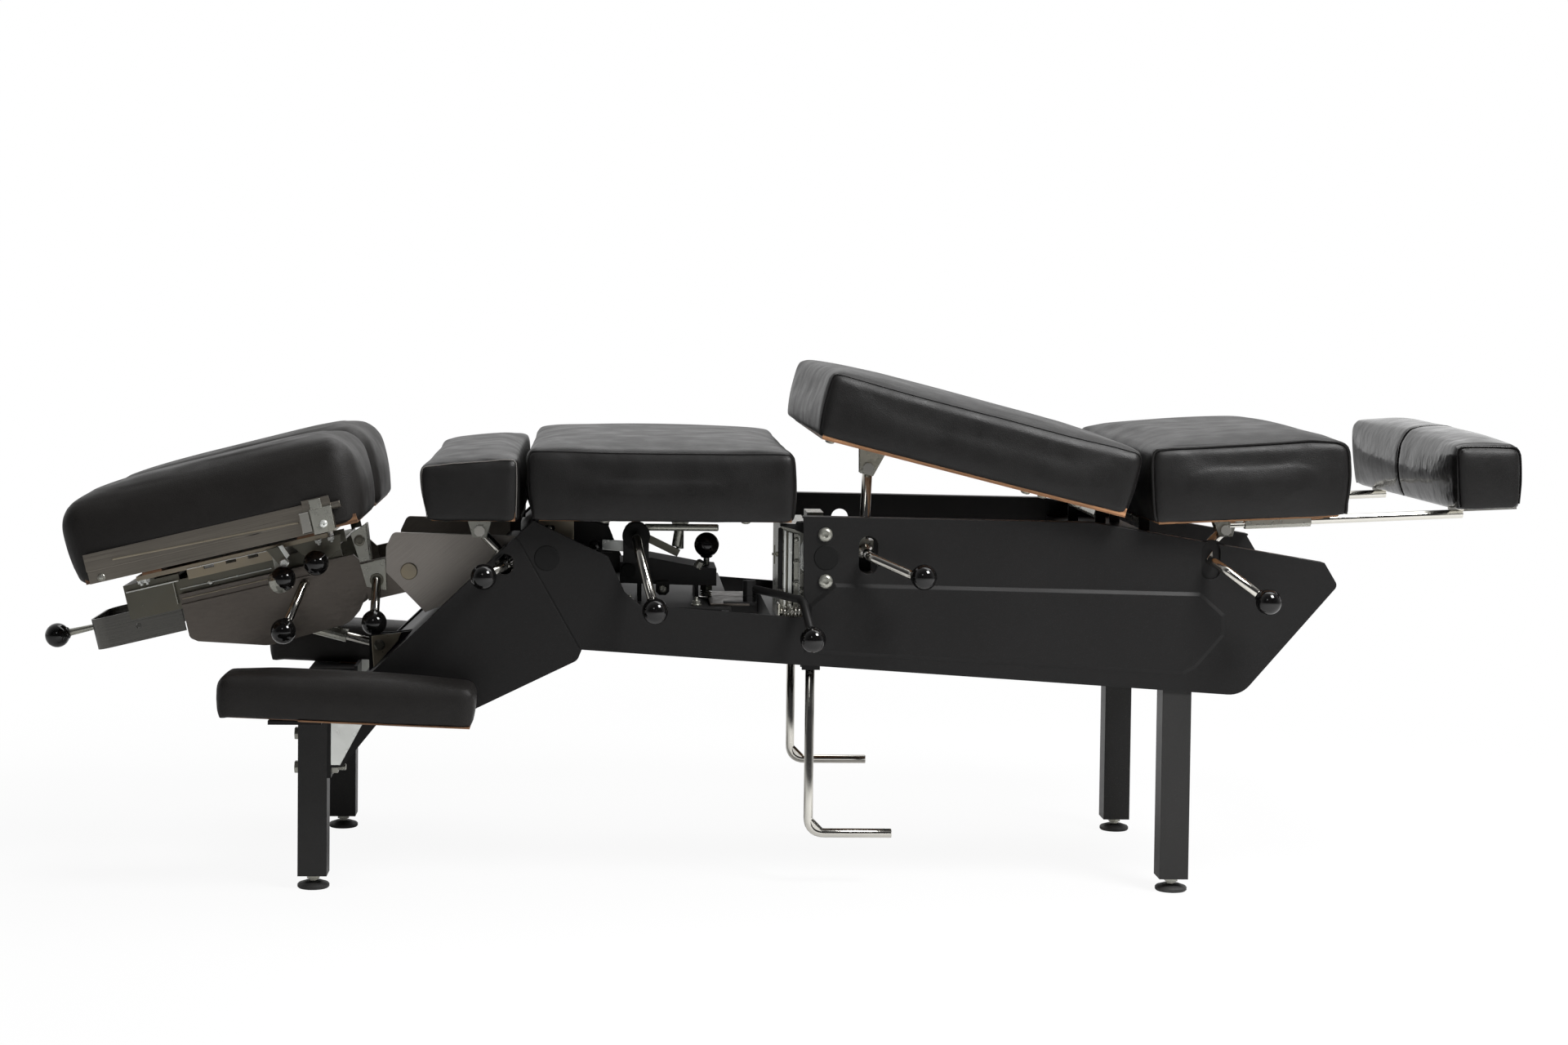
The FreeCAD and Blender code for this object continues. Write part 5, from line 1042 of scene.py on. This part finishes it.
back_spring = [
    coil((0.0195, -0.2115, 0.368), (0.05, -0.2115, 0.368), 0.0083, 0.0012, 6),
    tube([(0.016, -0.2115, 0.368), (0.054, -0.2115, 0.368)], 0.003, 14),
    slab(rect(0.0165, 0.0185, 0.356, 0.3805), -0.222, -0.199),
]
fitted("drop_return_spring", back_spring, "spring")

# Collars, clamp springs and slot plates of the prop levers
collar = [(0, 0.0105), (0.012, 0.0105), (0.014, 0.0098), (0.04, 0.007), (0.041, 0.006)]
for label, (x, z) in CLAMPS.items():
    turned_collar = lathe(collar, (x, -0.172, z), FRONT, 32)
    fitted(label + "_collar", [turned_collar], "chrome", label + "_lever_body")
outline = rect(0.121, 0.1345, 0.45, 0.469)
plate("lumbar_clamp_plate", "zinc", (-0.1765, -0.1716), *outline, body="lumbar_clamp_body")
coils = [coil((0.1326, PROP_Y, 0.43), (0.1316, PROP_Y, 0.407), 0.0096, 0.0014, 5)]
fitted("lumbar_clamp_spring", coils, "spring", "lumbar_clamp_body")
disc = lathe([(0, 0.0275), (0.001, 0.0275), (0.001, 0.0065)], (0.586, -0.2212, 0.442), FRONT, 48)
fitted("leg_slot_plate", [disc], "powder", "leg_lever_body")
key = [(0.5795, 0.444), (0.587, 0.4555), (0.5885, 0.444)]
plate("leg_lever_key", "chrome", (-0.229, -0.2225), *key, body="leg_lever_body")

# Leg gusset faces and the strut's foot bracket
# Painted reflection: the gusset faces are pale to stand in for the light the sloped plates catch
for side, label in SIDES:
    plate(
        "leg_gusset_" + label, "zinc_pale", sorted((side * 0.2236, side * 0.2176)),
        (-0.5672, 0.2433), (-0.5672, 0.165), (-0.555, 0.165), (-0.529, 0.214), (-0.511, 0.2433),
    )
plate(
    "strut_foot_plate", "zinc_warm", (-0.076, -0.0742), (-0.5276, 0.316), (-0.5157, 0.3178),
    (-0.4871, 0.3211), (-0.492, 0.309), (-0.5244, 0.272),
)
bolt = hex_bolt((-0.5166, -0.076, 0.304), FRONT, 0.011, 0.0045, 0.0075)
fitted("strut_foot_bolt", bolt, "zinc_dark")

# Head section: rail clip and end block, brackets and screws under the boards
for side, label in SIDES:
    body = "face_" + label
    ys, ys_line = sorted((side * 0.2592, side * 0.263)), sorted((side * 0.2574, side * 0.2597))
    # Painted highlight: a thin strip lighter than the rail, along its fold
    fold = [(-0.356, 0.1128), (-0.356, 0.1104), (-0.112, 0.1024), (-0.112, 0.1048)]
    plate("rail_fold_highlight_" + label, "zinc_warm", ys_line, *fold, body=body, edge=0.0008)
    outline = rect(-0.1095, -0.0965, 0.088, 0.115)
    plate(
        "rail_clip_" + label, "chrome", ys, *outline, body=body, edge=0.0009,
        slot_name="zinc_plate",
    )
    block = [(-0.0955, 0.117), (-0.0665, 0.117), (-0.068, 0.0838), (-0.0955, 0.0838)]
    blocks = [slab(o, *ys, 0.0008) for o in (block, rect(-0.0935, -0.078, 0.1165, 0.129))]
    fitted("rail_end_block_" + label, blocks, "zinc", body)
    spot = (-0.0809, side * 0.2629, 0.0955)
    screw = button_screw(spot, (0, side, 0), 0.0052, 0.0026, 0.0018)
    fitted("rail_end_screw_" + label, screw, "zinc_pale", body)
plate(
    "spread_strap_dark", "zinc_dark", (-0.178, -0.175), (-0.1735, 0.0745), (-0.157, 0.0745),
    (-0.1455, 0.052), (-0.161, 0.0515), body="spread_lever_body",
)
plate(
    "spread_strap", "zinc_pale", (-0.18, -0.177), (-0.156, 0.0755), (-0.1495, 0.0755),
    (-0.144, 0.06), (-0.149, 0.056), body="spread_lever_body",
)
bolt = hex_bolt((-0.1527, -0.179, 0.052), FRONT, 0.0095, 0.005, 0.006)
fitted("spread_nut", bolt, "zinc_pale", "spread_lever_body")
plate(
    "drop_hanger", "zinc_dark", (-0.1515, -0.1485), (-0.143, 0.0705), (-0.076, 0.0705),
    (-0.08, 0.05), (-0.096, 0.045), (-0.118, 0.045), (-0.132, 0.056), body="head_drop",
)
nuts = []
for u, y in ((-0.348, -0.146), (-0.34, -0.146), (-0.106, -0.153), (-0.089, -0.153)):
    nuts += nut_and_tail((u, y, 0.07), DOWN, 0.0085, 0.004, 0.003, 0.0022, 0.0052)
fitted("drop_plate_nuts", nuts, "zinc_pale", "head_drop")
screw = pan_screw((-0.264, -0.1142, 0.0436), FRONT, 0.0036, 0.003)
fitted("carriage_screw", screw, "zinc_pale", "carriage")
face = [(-0.0658, 0.066), (-0.0414, 0.0756), (-0.047, 0.0256), (-0.0617, 0.0256)]
flange = [(-0.043, 0.0752), (-0.0405, 0.075), (-0.0462, 0.0262), (-0.0486, 0.0264)]
slabs = [slab(face, -0.1275, -0.1212), slab(flange, -0.1275, -0.109)]
fitted("end_plate", slabs, "zinc", "head_section")
boss = [
    (0, 0.0072), (0.0022, 0.0072), (0.0028, 0.0062), (0.0028, 0.004), (0.0016, 0.0036),
    (0.0016, 0.0002),
]
boss = lathe(boss, (-0.0556, -0.1275, 0.0545), FRONT, 30)
fitted("end_plate_boss", [boss], "zinc_dark", "head_section")
plate(
    "tilt_clamp_face", "zinc", (-0.1305, -0.1272), (-0.062, 0.0235), (-0.027, 0.024),
    (-0.035, -0.019), (-0.06, -0.008), body="head_section",
)
washer = lathe([(0, 0.0092), (0.001, 0.0092), (0.001, 0.006)], (-0.045, -0.1305, -0.002), FRONT, 30)
fitted("tilt_clamp_washer", [washer], "zinc_dark", "head_section")

# Painted highlights: thin pale strips along the folded edges of the head plates, where the folds catch
# the light: x0, x1, z0, z1, y0, y1
for name, body, finish, *ends in (
    ("side_plate_fold", "head_section", "zinc_warm", -0.3045, -0.177, 0.0305, 0.032, -0.1222, -0.1208),
    ("carriage_flange", "carriage", "zinc_pale", -0.3765, -0.305, 0.0552, 0.057, -0.1175, -0.1135),
    ("carriage_fold", "carriage", "zinc_pale", -0.3055, -0.18, 0.0434, 0.0449, -0.1162, -0.1138),
    ("carriage_step", "carriage", "zinc", -0.3135, -0.3118, 0.025, 0.0552, -0.1162, -0.1138),
    ("drop_plate_lip", "head_drop", "zinc_pale", -0.284, -0.176, 0.07, 0.0714, -0.1534, -0.1518),
):
    plate(name, finish, ends[4:], *rect(*ends[:4]), body=body, edge=0.0003)

# Stage: floor, backdrop, lights and camera
scene = bpy.context.scene
scene.view_settings.view_transform = "Standard"


def floor_material():
    """White to the camera, with a diffuse share near the object that holds its shadow."""
    mat = bpy.data.materials.new("studio_floor")
    g = Graph(mat)
    path = g.node("ShaderNodeLightPath").outputs
    glossy = g.math("MULTIPLY", path["Is Glossy Ray"], 0.22)
    seen = g.math("MAXIMUM", path["Is Camera Ray"], glossy)
    away = g.node("ShaderNodeVectorMath", operation="LENGTH")
    g.join(g.node("ShaderNodeTexCoord").outputs["Object"], away.inputs[0])
    fade = g.span(away.outputs["Value"], 0.93, 1.0, 0.9, 1.9, "SMOOTHSTEP")
    diffuse = g.shader("ShaderNodeBsdfDiffuse", (0.94, 0.94, 0.94, 1))
    glow = g.shader("ShaderNodeEmission", Strength=1.0)
    surface = g.blend(g.math("MULTIPLY", seen, fade), diffuse, glow)
    g.join(surface, g.node("ShaderNodeOutputMaterial").inputs[0])
    return mat


half = 12
floor_mesh = bpy.data.meshes.new("studio_floor")
corners = [(x, y, 0) for x, y in rect(-half, half, -half, half)]
floor_mesh.from_pydata(corners, [], [(0, 1, 2, 3)])
floor = bpy.data.objects.new("studio_floor", floor_mesh)
scene.collection.objects.link(floor)
floor_mesh.materials.append(floor_material())

# World: white to the camera, weak plain light, and for gloss darker towards the front
scene.world = bpy.data.worlds.new("studio")
g = Graph(scene.world)
path = g.node("ShaderNodeLightPath").outputs
split = g.node("ShaderNodeSeparateXYZ")
g.join(g.node("ShaderNodeTexCoord").outputs["Generated"], split.inputs[0])
depth = g.span(split.outputs["Y"], 0, 1, -1, 1)
gloss = g.ramp(depth, (0.22, (0.045, 0.045, 0.048)), (0.88, (1, 1, 1)))
light = g.shader("ShaderNodeBackground", Strength=0.05)
unseen = g.blend(path["Is Glossy Ray"], light, g.shader("ShaderNodeBackground", gloss))
seen = g.math("MAXIMUM", path["Is Camera Ray"], path["Is Transmission Ray"])
white = g.shader("ShaderNodeBackground", Strength=1.0)
g.join(g.blend(seen, unseen, white), g.node("ShaderNodeOutputWorld").inputs[0])


def softbox(name, place, aim, size, power):
    lamp = bpy.data.lights.new(name, "AREA")
    lamp.shape = "RECTANGLE"
    lamp.size, lamp.size_y = size
    lamp.energy = power
    holder = bpy.data.objects.new(name, lamp)
    holder.location = place
    holder.rotation_euler = (Vector(aim) - Vector(place)).to_track_quat("-Z", "Y").to_euler()
    scene.collection.objects.link(holder)


softbox("key_left", (-0.85, -3.0, 2.0), (-0.1, 0, 0.4), (0.50, 0.5), 3.5)
softbox("key_right", (1.55, -1.60, 2.55), (0.45, 0, 0.4), (1.0, 1.0), 112)
softbox("over", (0.6, 0.6, 2.7), (0.2, 0, 0.4), (3.2, 1.8), 60)

camera = bpy.data.cameras.new("camera")
camera.sensor_width = 36.0
camera.lens = 62.53
camera.shift_x, camera.shift_y = 0.0568, -0.0740
holder = bpy.data.objects.new("camera", camera)
scene.collection.objects.link(holder)
right = Vector((0.9994405, -0.03176824, 0.01046233))
up = Vector((-0.00909785, 0.04279587, 0.99904241))
forward = Vector((0.03218557, 0.99857864, -0.0424829))
turn = Matrix((right, up, -forward)).transposed()
holder.matrix_world = Matrix.Translation((-0.210, -3.775, 0.790)) @ turn.to_4x4()
scene.camera = holder
